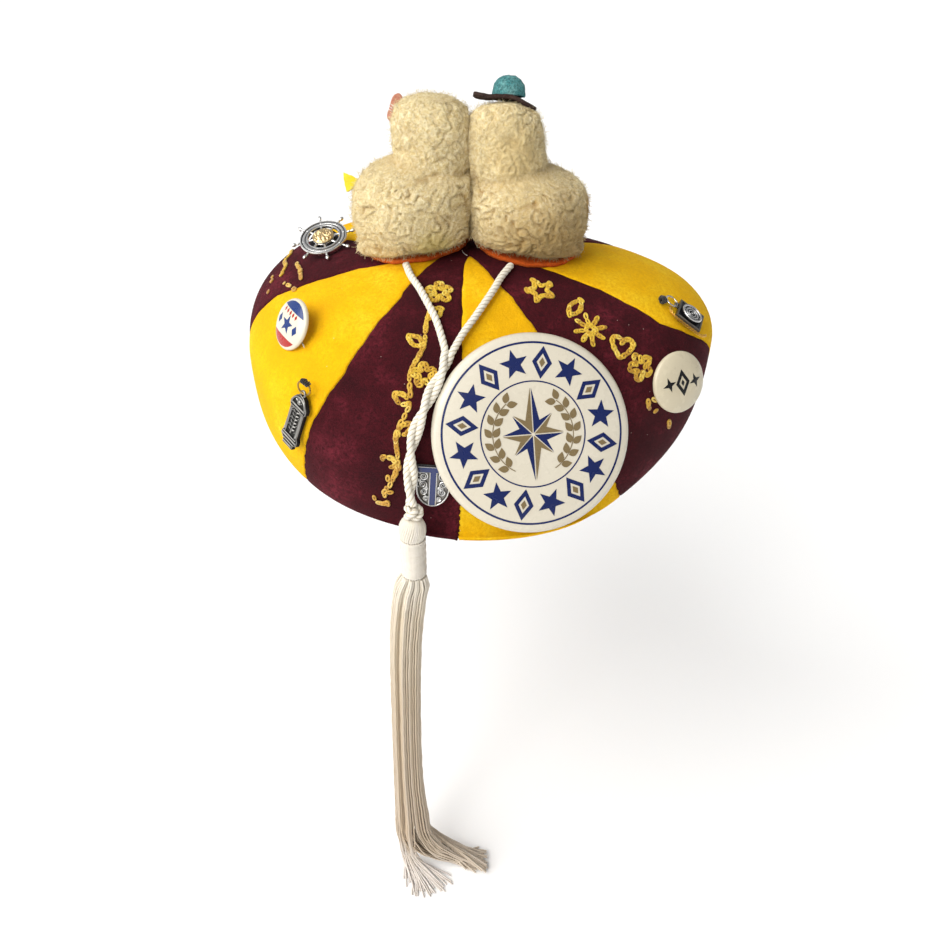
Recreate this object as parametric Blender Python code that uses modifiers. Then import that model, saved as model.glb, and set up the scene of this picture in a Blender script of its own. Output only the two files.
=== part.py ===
"""Freshman beanie: an eight-gore felt cap with two plush chicks, pinned badges, charms and a tassel.

Metres, +Z up. The origin is the middle of the head opening at the rim's level, the front of the cap
faces -Y and the wearer's left is +X. Azimuths are in degrees from the front (-Y) towards +X.
The part is held up at the head opening, and the tassel hangs below the rim to FLOOR_LEVEL.
"""
from math import asin, atan2, cos, degrees, hypot, pi, radians, sin

import bmesh
import bpy
import numpy as np
from mathutils import Matrix, Vector

for old in list(bpy.data.objects):
    bpy.data.objects.remove(old, do_unlink=True)

MM = 0.001

# Driving dimensions
CROWN_HEIGHT = 102 * MM       # rim level to the top of the felt
RIM_RADIUS = 95 * MM          # mean radius of the head opening's outer edge, about 60 cm round
RIM_DIP = 7 * MM              # the rim sits this much lower at +X and higher at -X, as worn
CROWN_FULLNESS = 0.976        # exponent of the crown's arc, just squarer than an ellipse at under 1
FELT_THICKNESS = 2.0 * MM
GORE_PUFF = 1.0 * MM          # how far a gore swells between its seams
SEAM_GAP = 0.6 * MM           # between neighbouring gores
FIT_GAP = 0.4 * MM            # between any other two pieces

SOLE_THICKNESS = 2.0 * MM
CHICK_HALF_WIDTH = 28.5 * MM
CHICK_HALF_DEPTH = 30.0 * MM
CHICK_FOOT_LEVEL = CROWN_HEIGHT - 3.0 * MM
LOCK_DEPTH = 1.6 * MM         # plush locks, valley to tip
PRESS_PLANE = 1.4 * MM        # x of the plane where the two chicks press together
BRIM_HALF_WIDTH, BRIM_HALF_DEPTH, BRIM_THICKNESS = 14.0 * MM, 9.4 * MM, 1.6 * MM
HAT_RADIUS, HAT_HEIGHT = 7.6 * MM, 8.8 * MM   # the small hat's crown

LARGE_BUTTON_DIAMETER = 89 * MM
SMALL_BUTTON_DIAMETER = 24 * MM
PLAIN_BUTTON_DIAMETER = 29 * MM

WHEEL_RING_RADIUS = 12.0 * MM
CREST_WIDTH, CREST_HEIGHT = 15 * MM, 20.5 * MM
CREST_AZIMUTH = -9.2 - 0.3 * max(102 * MM - CROWN_HEIGHT, 0) / MM   # keeps it clear of the large button
PLAQUE_WIDTH, PLAQUE_HEIGHT = 12 * MM, 28 * MM
PLATE_SIDE = 14 * MM

CORD_DIAMETER = 3.4 * MM
TWIST_PITCH = 44 * MM         # one turn of the pair of cords
TASSEL_AZIMUTH = -13.36
TASSEL_STANDOFF = 8.5 * MM    # from the rim out to the tassel's middle
TASSEL_TOP = 15.5 * MM
HEAD_LENGTH, HEAD_RADIUS = 10.5 * MM, 6.2 * MM
WRAP_LENGTH, WRAP_RADIUS = 22 * MM, 5.9 * MM
SKIRT_LENGTH = 223 * MM       # the drop from the wrap to the floor
FLOOR_LEVEL = TASSEL_TOP - HEAD_LENGTH - WRAP_LENGTH - SKIRT_LENGTH - 1 * MM
TASSEL_REACH = RIM_RADIUS * 1.0086 + TASSEL_STANDOFF
TASSEL_X = TASSEL_REACH * sin(radians(TASSEL_AZIMUTH))
TASSEL_Y = -TASSEL_REACH * cos(radians(TASSEL_AZIMUTH))

# Short tables, one row for each section
# Radii are shares of RIM_RADIUS and heights are shares of CROWN_HEIGHT.
CROWN_COLUMNS = ("azimuth", "shoulder_radius", "shoulder_height", "rim_radius")
CROWN_SECTIONS = (
    (0, 0.937, 0.157, 1.010),
    (45, 0.995, 0.353, 1.000),
    (90, 1.311, 0.542, 0.984),
    (135, 1.207, 0.415, 1.000),
    (180, 1.120, 0.450, 1.010),
    (225, 1.223, 0.605, 1.000),
    (270, 1.155, 0.499, 0.984),
    (315, 1.084, 0.353, 1.000),
)

# A seam's azimuth on its way down: t is 0 at the top, 1 at the shoulder and 2 at the rim.
SEAM_STATIONS = (0.12, 0.32, 0.65, 1.0, 2.0)
SEAM_COLUMNS = ("right_hand_gore", "top", "crown", "slope", "shoulder", "rim")
SEAMS = (
    ("gore_front_gold", -3, -2, -1, -1.5, -2),
    ("gore_front_right_maroon", 22, 30, 35, 43, 54),
    ("gore_right_gold", 62, 66, 70.5, 85, 94),
    ("gore_back_right_maroon", 115, 112, 124, 133, 137),
    ("gore_back_left_gold", 180, 180, 180, 180, 180),
    ("gore_left_maroon", 248, 251, 230, 225, 223),
    ("gore_left_gold", 294, 283, 273.5, 272, 269),
    ("gore_front_left_maroon", 315, 323.5, 321.5, 315, 306),
)
GORE_ROWS = (0.004, 0.03, 0.07, 0.10, 0.13, 0.17, 0.30, 0.45, 0.60, 0.76, 0.90, 1.0, 1.2, 1.55, 2.0)
GORE_COLUMNS_ACROSS = 5
TIP_START, TIP_END = 0.07, 0.16   # t where a gold gore's rounded tip begins and is full width

# A chick from foot to top: height is a share of its height, lean a share of how far its head is
# set over, forward of how far it is set ahead, and the halves of its half width and half depth.
CHICK_COLUMNS = ("height", "lean", "forward", "half_width", "half_depth")
CHICK_SECTIONS = (
    (0.00, 0.00, 0.00, 0.44, 0.44),
    (0.06, 0.00, 0.00, 0.66, 0.58),
    (0.11, 0.00, 0.00, 0.86, 0.79),
    (0.18, 0.00, 0.00, 0.97, 0.94),
    (0.30, 0.00, 0.00, 1.00, 1.00),
    (0.44, 0.05, 0.05, 0.99, 0.97),
    (0.53, 0.20, 0.20, 0.91, 0.88),
    (0.585, 0.50, 0.50, 0.77, 0.73),
    (0.62, 0.75, 0.70, 0.61, 0.58),
    (0.69, 0.90, 0.90, 0.61, 0.58),
    (0.77, 1.00, 1.00, 0.63, 0.60),
    (0.87, 1.00, 1.00, 0.60, 0.55),
    (0.94, 1.00, 1.00, 0.51, 0.46),
    (0.98, 1.00, 1.00, 0.37, 0.33),
    (1.00, 1.00, 1.00, 0.18, 0.17),
)
CHICK_RINGS, CHICK_SIDES = 20, 28

# The cords' way over the felt, in azimuth and t: each strand alone, then both twisted together.
ROUTE_COLUMNS = ("azimuth", "t")
LEFT_STRAND = ((-53, 0.208), (-42, 0.235), (-30, 0.275), (-20, 0.335), (-14, 0.39), (-10.5, 0.445))
RIGHT_STRAND = ((45, 0.195), (38, 0.21), (29, 0.24), (14.5, 0.31), (5, 0.375), (-1.5, 0.435))
TWISTED_COLUMNS = ("azimuth", "t", "clear_of_felt_mm")
TWISTED_PAIR = (
    (-7.0, 0.50, 0.0), (-8.4, 0.56, 0.0), (-10.8, 0.62, 0.0), (-12.6, 0.68, 0.0), (-14.1, 0.74, 0.0),
    (-15.0, 0.80, 0.2), (-15.3, 0.86, 0.8), (-15.0, 0.91, 2.0), (-15.0, 0.95, 3.4),
)

# The skirt's sections on the way down, as shares of SKIRT_LENGTH: drop, aside to +X, towards -Y.
SKIRT_COLUMNS = ("drop", "aside", "ahead", "half_width", "half_depth")
SKIRT_SECTIONS = (
    (0.000, 0.000, 0.000, 0.026, 0.026),
    (0.015, -0.002, 0.000, 0.035, 0.031),
    (0.060, -0.012, 0.000, 0.040, 0.033),
    (0.200, -0.026, 0.000, 0.039, 0.033),
    (0.430, -0.034, 0.000, 0.038, 0.032),
    (0.650, -0.037, 0.000, 0.040, 0.033),
    (0.800, -0.034, 0.000, 0.048, 0.034),
    (0.890, -0.016, 0.003, 0.068, 0.034),
    (0.945, 0.012, 0.014, 0.098, 0.030),
    (0.975, 0.034, 0.040, 0.122, 0.020),
    (0.989, 0.034, 0.072, 0.108, 0.011),
    (0.993, 0.012, 0.112, 0.056, 0.008),
)
SKIRT_LOCKS = 14


def column(rows, names, name):
    """One named column of a table, as an array."""
    return np.array([row[names.index(name)] for row in rows], float)


# The felt's shape
def round_about(values, azimuth):
    """Smooth periodic values between the eight sections, by their Fourier series."""
    terms = np.fft.rfft(values) / len(values)
    angle = np.radians(azimuth)
    total = np.full(np.shape(angle), np.real(terms[0]))
    for k in range(1, len(terms)):
        weight = 1 if 2 * k == len(values) else 2
        total = total + weight * (np.real(terms[k]) * np.cos(k * angle)
                                  - np.imag(terms[k]) * np.sin(k * angle))
    return total


def crown_value(name, azimuth):
    return round_about(column(CROWN_SECTIONS, CROWN_COLUMNS, name), azimuth)


def seam_azimuths(t):
    """The eight seams' azimuths at t, in ascending order, the front one first."""
    return np.array([np.interp(t, SEAM_STATIONS, row[1:]) for row in SEAMS])


def puff(azimuth, t):
    """How far the felt swells out of its smooth shape, most in the middle of a gore."""
    azimuth, t = np.broadcast_arrays(np.asarray(azimuth, float), np.asarray(t, float))
    seams = seam_azimuths(t.ravel())
    around = (azimuth.ravel() - seams[0]) % 360 + seams[0]
    edges = np.vstack([seams, seams[:1] + 360])
    share = np.zeros(around.shape)
    for low, high in zip(edges[:-1], edges[1:]):
        inside = (around >= low) & (around < high)
        share[inside] = ((around - low) / (high - low))[inside]
    along = np.sin(pi * np.clip(t.ravel() / 2, 0, 1))
    return (GORE_PUFF * np.sin(pi * share) * along).reshape(azimuth.shape)


def smooth_felt(azimuth, t):
    """Points of the felt's outer face before the gores' puff."""
    azimuth, t = np.broadcast_arrays(np.asarray(azimuth, float), np.asarray(t, float))
    shoulder = RIM_RADIUS * crown_value("shoulder_radius", azimuth)
    level = CROWN_HEIGHT * crown_value("shoulder_height", azimuth)
    rim = RIM_RADIUS * crown_value("rim_radius", azimuth)
    above = np.clip(t, 0, 1) * pi / 2
    below = np.clip(t - 1, 0, 1) * pi / 2
    crown_radius = shoulder * np.sin(above) ** CROWN_FULLNESS
    crown_level = level + (CROWN_HEIGHT - level) * np.cos(above) ** CROWN_FULLNESS
    side_radius = rim + (shoulder - rim) * np.cos(below)
    side_level = level * (1 - np.sin(below))
    radius = np.where(t <= 1, crown_radius, side_radius)
    height = np.where(t <= 1, crown_level, side_level)
    angle = np.radians(azimuth)
    height = height - RIM_DIP * np.sin(angle) * (np.clip(t, 0, 2) / 2) ** 1.5
    return np.stack([radius * np.sin(angle), -radius * np.cos(angle), height], -1)


def felt_normal(azimuth, t):
    step = 0.01
    t = np.clip(np.asarray(t, float), 0.03, 1.96)
    down = smooth_felt(azimuth, t + step) - smooth_felt(azimuth, t - step)
    across = smooth_felt(azimuth + step * 60, t) - smooth_felt(azimuth - step * 60, t)
    out = np.cross(down, across)
    return out / np.linalg.norm(out, axis=-1, keepdims=True)


def felt(azimuth, t, lift=0.0):
    """Points at a lift over the felt's outer face."""
    azimuth = np.asarray(azimuth, float)
    raised = np.asarray(puff(azimuth, t) + lift)
    return smooth_felt(azimuth, t) + raised[..., None] * felt_normal(azimuth, t)


def felt_over(x, y, lift=0.0):
    """The point at a lift over the crown's felt above or below (x, y)."""
    azimuth = degrees(atan2(x, -y))
    shoulder = RIM_RADIUS * float(crown_value("shoulder_radius", azimuth))
    share = min(hypot(x, y) / shoulder, 0.999) ** (1 / CROWN_FULLNESS)
    return Vector(felt(azimuth, asin(share) * 2 / pi, lift))


GRID = np.meshgrid(np.arange(0, 360, 2.0), np.linspace(0.02, 2, 100), indexing="ij")
GRID_POINTS = felt(GRID[0], GRID[1]).reshape(-1, 3)
GRID_NORMALS = felt_normal(GRID[0], GRID[1]).reshape(-1, 3)


def clearance(points):
    """How far outside the felt each point is, by the nearest point of a fine grid."""
    found = []
    for point in points:
        away = point - GRID_POINTS
        nearest = np.argmin((away ** 2).sum(1))
        found.append(away[nearest] @ GRID_NORMALS[nearest])
    return min(found)


# Building helpers
collection = bpy.data.collections.new("freshman_beanie")
bpy.context.scene.collection.children.link(collection)
cutters = bpy.data.collections.new("joined_eyes")
bpy.context.scene.collection.children.link(cutters)
cutters.hide_render = True

base = bpy.data.objects.new("beanie", None)
base.empty_display_size = 0.05
collection.objects.link(base)


def principled(name, colour, roughness, metallic=0.0):
    made = bpy.data.materials.new(name)
    made.use_nodes = True
    shader = made.node_tree.nodes["Principled BSDF"]
    shader.inputs["Base Color"].default_value = (*colour, 1)
    shader.inputs["Roughness"].default_value = roughness
    shader.inputs["Metallic"].default_value = metallic
    made.diffuse_color = (*colour, 1)
    return made


FINISHES = {   # name: linear colour, roughness, metallic
    "maroon_felt": ((0.105, 0.008, 0.022), 0.95, 0.0),
    "gold_felt": ((0.90, 0.50, 0.012), 0.95, 0.0),
    "cream_plush": ((0.62, 0.52, 0.29), 0.95, 0.0),
    "orange_felt": ((0.80, 0.14, 0.02), 0.95, 0.0),
    "teal_felt": ((0.10, 0.33, 0.33), 0.95, 0.0),
    "brown_felt": ((0.040, 0.020, 0.017), 0.95, 0.0),
    "salmon_felt": ((0.56, 0.24, 0.16), 0.95, 0.0),
    "yellow_felt": ((0.87, 0.60, 0.03), 0.95, 0.0),
    "ivory_enamel": ((0.74, 0.70, 0.56), 0.25, 0.0),
    "white_enamel": ((0.72, 0.66, 0.52), 0.30, 0.0),
    "banded_enamel": ((0.70, 0.68, 0.62), 0.30, 0.0),
    "silver_metal": ((0.56, 0.56, 0.57), 0.30, 1.0),
    "gold_metal": ((0.72, 0.50, 0.20), 0.40, 1.0),
    "brass_metal": ((0.50, 0.36, 0.16), 0.38, 1.0),
    "pewter_metal": ((0.22, 0.21, 0.20), 0.45, 1.0),
    "black_enamel": ((0.012, 0.011, 0.011), 0.35, 0.0),
    "blue_enamel": ((0.035, 0.075, 0.30), 0.25, 0.0),
    "black_thread": ((0.012, 0.010, 0.010), 0.90, 0.0),
    "ivory_cord": ((0.75, 0.71, 0.60), 0.75, 0.0),
    "tassel_silk": ((0.52, 0.46, 0.37), 0.60, 0.0),
}


def finish(obj, slot):
    """Give the object a Principled material of its own with the slot's finish."""
    colour, roughness, metallic = FINISHES[slot]
    obj.data.materials.append(principled(obj.name + "_" + slot, colour, roughness, metallic))
    return obj


def keep(name, data, slot):
    obj = bpy.data.objects.new(name, data)
    collection.objects.link(obj)
    obj.parent = base
    return finish(obj, slot)


def stand(obj, at, facing=(0, 0, 1), upward=(0, 0, 1)):
    """Put the object at a point, its local Z along facing and its local Y as near upward as can be."""
    out = Vector(facing).normalized()
    up = Vector(upward)
    up = (up - out * up.dot(out)).normalized()
    turn = Matrix((up.cross(out), up, out)).transposed()
    obj.location = Vector(at)
    obj.rotation_euler = turn.to_euler()
    return obj


def surface(name, points, slot, thickness, closed=False, middle=False, offset=-1.0):
    """A sheet over rows of points, thickened away from its face by Solidify.

    With closed each row runs right round, and with middle the first row is one shared point."""
    bm = bmesh.new()
    rows = []
    for i, row in enumerate(points):
        if middle and i == 0:
            rows.append([bm.verts.new(Vector(row[0]))] * len(row))
        else:
            rows.append([bm.verts.new(Vector(p)) for p in row])
    count = len(points[0])
    for upper, lower in zip(rows[:-1], rows[1:]):
        for j in range(count if closed else count - 1):
            k = (j + 1) % count
            ring = []
            for vertex in (upper[j], lower[j], lower[k], upper[k]):
                if vertex not in ring:
                    ring.append(vertex)
            bm.faces.new(ring)
    mesh = bpy.data.meshes.new(name)
    bm.to_mesh(mesh)
    bm.free()
    obj = keep(name, mesh, slot)
    wall = obj.modifiers.new("wall", "SOLIDIFY")
    wall.thickness = thickness
    wall.offset = offset
    return obj


def loft(name, rings, slot):
    """A closed body through rings of points that run counter-clockwise seen from the last ring."""
    bm = bmesh.new()
    loops = [[bm.verts.new(Vector(p)) for p in ring] for ring in rings]
    count = len(rings[0])
    for low, high in zip(loops[:-1], loops[1:]):
        for j in range(count):
            k = (j + 1) % count
            bm.faces.new((low[j], low[k], high[k], high[j]))
    for loop, ring, end in ((loops[0], rings[0], True), (loops[-1], rings[-1], False)):
        hub = bm.verts.new(sum((Vector(p) for p in ring), Vector()) / count)
        for j in range(count):
            k = (j + 1) % count
            bm.faces.new((hub, loop[k], loop[j]) if end else (hub, loop[j], loop[k]))
    mesh = bpy.data.meshes.new(name)
    bm.to_mesh(mesh)
    bm.free()
    return keep(name, mesh, slot)


def turned(name, profile, slot, steps):
    """A body of revolution: the profile runs from the top down its outer side, at +X."""
    mesh = bpy.data.meshes.new(name)
    points = [(radius, 0.0, height) for radius, height in profile]
    mesh.from_pydata(points, [(i, i + 1) for i in range(len(points) - 1)], [])
    obj = keep(name, mesh, slot)
    screw = obj.modifiers.new("turn", "SCREW")
    screw.steps = screw.render_steps = steps
    screw.use_merge_vertices = True
    screw.merge_threshold = 0.00001
    return obj


def flat_outline(name, outlines, thickness, slot=None):
    """A plate from closed outlines in its XY plane, the first outside and the others its holes."""
    curve = bpy.data.curves.new(name, "CURVE")
    curve.dimensions = "2D"
    curve.fill_mode = "BOTH"
    curve.extrude = thickness / 2
    curve.resolution_u = 1
    curve.render_resolution_u = 0
    for outline in outlines:
        spline = curve.splines.new("POLY")
        spline.points.add(len(outline) - 1)
        for point, (x, y) in zip(spline.points, outline):
            point.co = (x, y, 0, 1)
        spline.use_cyclic_u = True
    if slot:
        return keep(name, curve, slot)
    obj = bpy.data.objects.new(name, curve)
    collection.objects.link(obj)
    return obj


def arc(radius, start, end, steps, x=0.0, y=0.0):
    """Points of an arc in the plane, angles in degrees from +X."""
    angles = [radians(start + (end - start) * i / steps) for i in range(steps + 1)]
    return [(x + radius * cos(a), y + radius * sin(a)) for a in angles]


def metal_ring(name, major, minor, slot, segments=18, sides=6):
    bpy.ops.mesh.primitive_torus_add(major_radius=major, minor_radius=minor,
                                     major_segments=segments, minor_segments=sides)
    obj = bpy.context.object
    obj.name = obj.data.name = name
    for owner in list(obj.users_collection):
        owner.objects.unlink(obj)
    collection.objects.link(obj)
    obj.parent = base
    return finish(obj, slot) if slot else obj


def plate_with_eyes(name, outlines, thickness, slot, eyes, eye_radius, wire):
    """A plate with wire eyes joined on its edge, each eye's hole running along the plate's edge."""
    drawn = flat_outline(name + "_outline", outlines, thickness)
    graph = bpy.context.evaluated_depsgraph_get()
    mesh = bpy.data.meshes.new_from_object(drawn.evaluated_get(graph))
    bpy.data.objects.remove(drawn, do_unlink=True)
    bm = bmesh.new()
    bm.from_mesh(mesh)
    bmesh.ops.remove_doubles(bm, verts=bm.verts, dist=0.00001)
    bmesh.ops.recalc_face_normals(bm, faces=bm.faces)
    bm.to_mesh(mesh)
    bm.free()
    mesh.name = name
    mesh.materials.clear()
    obj = keep(name, mesh, slot)
    for number, (x, y, turn) in enumerate(eyes):
        eye = metal_ring(f"{name}_eye_{number + 1}", eye_radius, wire, None, 12, 6)
        collection.objects.unlink(eye)
        cutters.objects.link(eye)
        eye.display_type = "WIRE"
        eye.hide_render = True
        eye.parent = obj
        eye.location = (x, y, 0)
        eye.rotation_euler = (pi / 2, 0, turn + pi / 2)
        join = obj.modifiers.new("eye", "BOOLEAN")
        join.operation = "UNION"
        join.object = eye
    return obj


def tube(name, points, diameter, slot):
    """A cord's plain tube along points, with capped ends."""
    curve = bpy.data.curves.new(name, "CURVE")
    curve.dimensions = "3D"
    curve.bevel_depth = diameter / 2
    curve.bevel_resolution = 2
    curve.use_fill_caps = True
    curve.resolution_u = 1
    curve.render_resolution_u = 0
    spline = curve.splines.new("POLY")
    spline.points.add(len(points) - 1)
    for point, at in zip(spline.points, points):
        point.co = (*at, 1)
    return keep(name, curve, slot)


# Felt gores
def tip_share(t):
    """How much of a gold gore's half width the maroon gores take at t: none below its tip."""
    reach = (TIP_END - t) / (TIP_END - TIP_START)
    if reach <= 0:
        return 0.0
    return 1.0 - (1.0 - min(reach, 1.0) ** 2) ** 0.5


def build_gore(index):
    name = SEAMS[index][0]
    gold = name.endswith("gold")
    rows = []
    for t in GORE_ROWS:
        taken = tip_share(t)
        if gold and taken > 0.8:
            continue
        seams = list(seam_azimuths(t)) + [seam_azimuths(t)[0] + 360]
        low, high = seams[index], seams[index + 1]
        middle = (low + high) / 2
        if gold:
            low, high = low + (middle - low) * taken, high - (high - middle) * taken
        else:
            before = seams[index - 1] if index else seams[7] - 360
            after = seams[(index + 2) % 8] + (360 if index > 6 else 0)
            low -= (low - before) / 2 * taken
            high += (after - high) / 2 * taken
        radius = np.linalg.norm(smooth_felt(middle, t)[:2])
        inset = degrees(SEAM_GAP / 2 / radius)
        across = np.linspace(low + inset, high - inset, GORE_COLUMNS_ACROSS + 1)
        rows.append(felt(across, np.full(across.shape, t)))
    return surface(name, rows, "gold_felt" if gold else "maroon_felt", FELT_THICKNESS)


# Chicks
LEFT_FOOT_X = PRESS_PLANE - 0.961 * CHICK_HALF_WIDTH
RIGHT_FOOT_X = PRESS_PLANE + 1.021 * CHICK_HALF_WIDTH
CHICKS = {   # name: foot x, head's lean to +X, head's set ahead to +Y, height
    "chick_left": (LEFT_FOOT_X, 10.0 * MM, 8 * MM, 72.5 * MM),
    "chick_right": (RIGHT_FOOT_X, -11.0 * MM, 7 * MM, 65.2 * MM),
}
SOLES = {   # name: middle x, y, half length, half width, turn in degrees
    "sole_left": (LEFT_FOOT_X + 3 * MM, 6 * MM, 0.877 * CHICK_HALF_WIDTH, 0.733 * CHICK_HALF_DEPTH, 24),
    "sole_right": (RIGHT_FOOT_X - 1.5 * MM, 5 * MM, 0.877 * CHICK_HALF_WIDTH, 0.783 * CHICK_HALF_DEPTH, -18),
}


def build_sole(name):
    x, y, long, wide, turn = SOLES[name]
    rows = []
    for share in (0.0, 0.4, 0.75, 1.0):
        row = []
        for j in range(20):
            a = 2 * pi * j / 20
            across, ahead = long * share * cos(a), wide * share * sin(a)
            spin = radians(turn)
            row.append(felt_over(x + across * cos(spin) - ahead * sin(spin),
                                 y + across * sin(spin) + ahead * cos(spin), FIT_GAP))
        rows.append(row)
    return surface(name, rows, "orange_felt", SOLE_THICKNESS, closed=True, middle=True, offset=1.0)


def build_chick(name):
    foot_x, lean, ahead, height = CHICKS[name]
    left = foot_x < 0
    stations = column(CHICK_SECTIONS, CHICK_COLUMNS, "height")
    rings = []
    for i in range(CHICK_RINGS):
        even = i / (CHICK_RINGS - 1)
        share = 0.55 * (1 - cos(pi * even)) / 2 + 0.45 * even
        here = {key: np.interp(share, stations, column(CHICK_SECTIONS, CHICK_COLUMNS, key))
                for key in CHICK_COLUMNS[1:]}
        ring = []
        for j in range(CHICK_SIDES):
            a = 2 * pi * (j + 0.5 * (i % 2)) / CHICK_SIDES
            tuft = LOCK_DEPTH * (0.5 if j % 2 else -0.5)
            x = foot_x + lean * here["lean"] + (CHICK_HALF_WIDTH * here["half_width"] + tuft) * cos(a)
            y = ahead * here["forward"] + (CHICK_HALF_DEPTH * here["half_depth"] + tuft) * sin(a)
            x = min(x, PRESS_PLANE - FIT_GAP) if left else max(x, PRESS_PLANE + FIT_GAP)
            z = CHICK_FOOT_LEVEL + height * share
            if share < 0.4:
                sole_top = felt_over(x, y, SOLE_THICKNESS + 4 * FIT_GAP).z + 0.1 * MM
                z = max(z, sole_top + 0.4 * MM * i)
            ring.append((x, y, z))
        rings.append(ring)
    return loft(name, rings, "cream_plush")


def by_chick(name, across, ahead, up, leaning=1.0):
    """A place by a chick: from its body's or head's middle in half widths and half depths, and in heights."""
    foot_x, lean, forward, height = CHICKS[name]
    return Vector((foot_x + lean * leaning + across * CHICK_HALF_WIDTH,
                   forward * leaning + ahead * CHICK_HALF_DEPTH, CHICK_FOOT_LEVEL + height * up))


BRIM_AT = by_chick("chick_right", -0.081, 0.060, 1.0) + Vector((0, 0, 3.5 * MM))
HAT_FACING = (0.06, 0.32, 0.945)


def build_chick_hat():
    """The right chick's hat: a drooping felt brim and a domed crown standing on it."""
    brim_rows = []
    for share in (0.0, 0.45, 0.75, 1.0):
        row = []
        for j in range(22):
            a = 2 * pi * j / 22
            x, y = BRIM_HALF_WIDTH * share * cos(a), BRIM_HALF_DEPTH * share * sin(a)
            droop = 4.0 * MM * max(share * cos(a), 0) ** 2 - 0.8 * MM * max(-share * cos(a), 0) ** 2
            row.append((x, y, -droop))
        brim_rows.append(row)
    brim = surface("chick_hat_brim", brim_rows, "brown_felt", BRIM_THICKNESS, closed=True, middle=True,
                   offset=1.0)
    stand(brim, BRIM_AT, HAT_FACING, (0, 1, 0.3))
    profile = ((0, 1), (0.38, 0.955), (0.68, 0.81), (0.88, 0.57), (0.97, 0.29), (1, 0),
               (0.80, 0), (0.77, 0.26), (0.68, 0.49), (0.51, 0.67), (0.30, 0.78), (0, 0.82))
    crown = turned("chick_hat_crown", [(r * HAT_RADIUS, z * HAT_HEIGHT) for r, z in profile], "teal_felt", 16)
    rise = Vector(HAT_FACING).normalized() * (BRIM_THICKNESS + FIT_GAP)
    side = Vector((2.0 * MM, 0, -0.3 * MM))
    stand(crown, Vector(BRIM_AT) + rise + side, HAT_FACING, (0, 1, 0.3))


def build_scrap(name, at, facing, upward, half_width, half_height, slot):
    """A small rounded felt scrap, cupped a little along its length."""
    rows = []
    for share in (0.0, 0.55, 1.0):
        row = []
        for j in range(14):
            a = 2 * pi * j / 14
            x, y = half_width * share * cos(a), half_height * share * sin(a) * (1 + 0.15 * cos(2 * a))
            row.append((x, y, -0.12 * x * x / half_width))
        rows.append(row)
    scrap = surface(name, rows, slot, 1.5 * MM, closed=True, middle=True, offset=0.0)
    return stand(scrap, at, facing, upward)


# Badges
def seat(azimuth, t, facing, radius, half_width=None, hollow=0.0, upward=(0, 0, 1)):
    """Where the middle of a back comes to rest when it is slid in along its facing.

    The back is flat and round, or half_width to each side, or hollow to a depth inside its rim."""
    out = np.array(Vector(facing).normalized())
    side = np.cross(np.array(upward), out)
    side /= np.linalg.norm(side)
    up = np.cross(out, side)
    angles = np.radians(np.arange(0, 360, 15))
    disc = [out * hollow] + [share * ((half_width or radius) * np.cos(a) * side + radius * np.sin(a) * up)
                             + out * (hollow if share < 1 else 0.0)
                             for share in (0.35, 0.7, 1.0) for a in angles]
    start = felt(float(azimuth), float(t))
    low, high = -10 * MM, 25 * MM
    for _ in range(16):
        slide = (low + high) / 2
        if clearance([start + out * slide + p for p in disc]) > FIT_GAP:
            high = slide
        else:
            low = slide
    return Vector(start + out * high)


def build_button(name, diameter, rise, slot, azimuth, t, facing, steps, hollow=0.0, pressed=0.0):
    """A pin-back button: a domed shell with its rim rolled back, open behind, pressed in by so much."""
    radius = diameter / 2
    roll = 1.1 * MM if diameter < 40 * MM else 1.8 * MM
    wall = 0.8 * MM
    profile = (
        (0, rise), (radius * 0.55, rise * 0.93), (radius * 0.85, rise * 0.76), (radius - roll, rise * 0.58),
        (radius, rise * 0.34), (radius - roll * 0.35, 0.0), (radius - roll - wall, 0.0),
        (radius - roll - wall, rise * 0.40), (radius * 0.55, rise * 0.93 - wall), (0, rise - wall),
    )
    button = turned(name, profile, slot, steps)
    spot = seat(azimuth, t, facing, radius - roll * 0.35, hollow=hollow)
    return stand(button, spot - Vector(facing).normalized() * pressed, facing)


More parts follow.
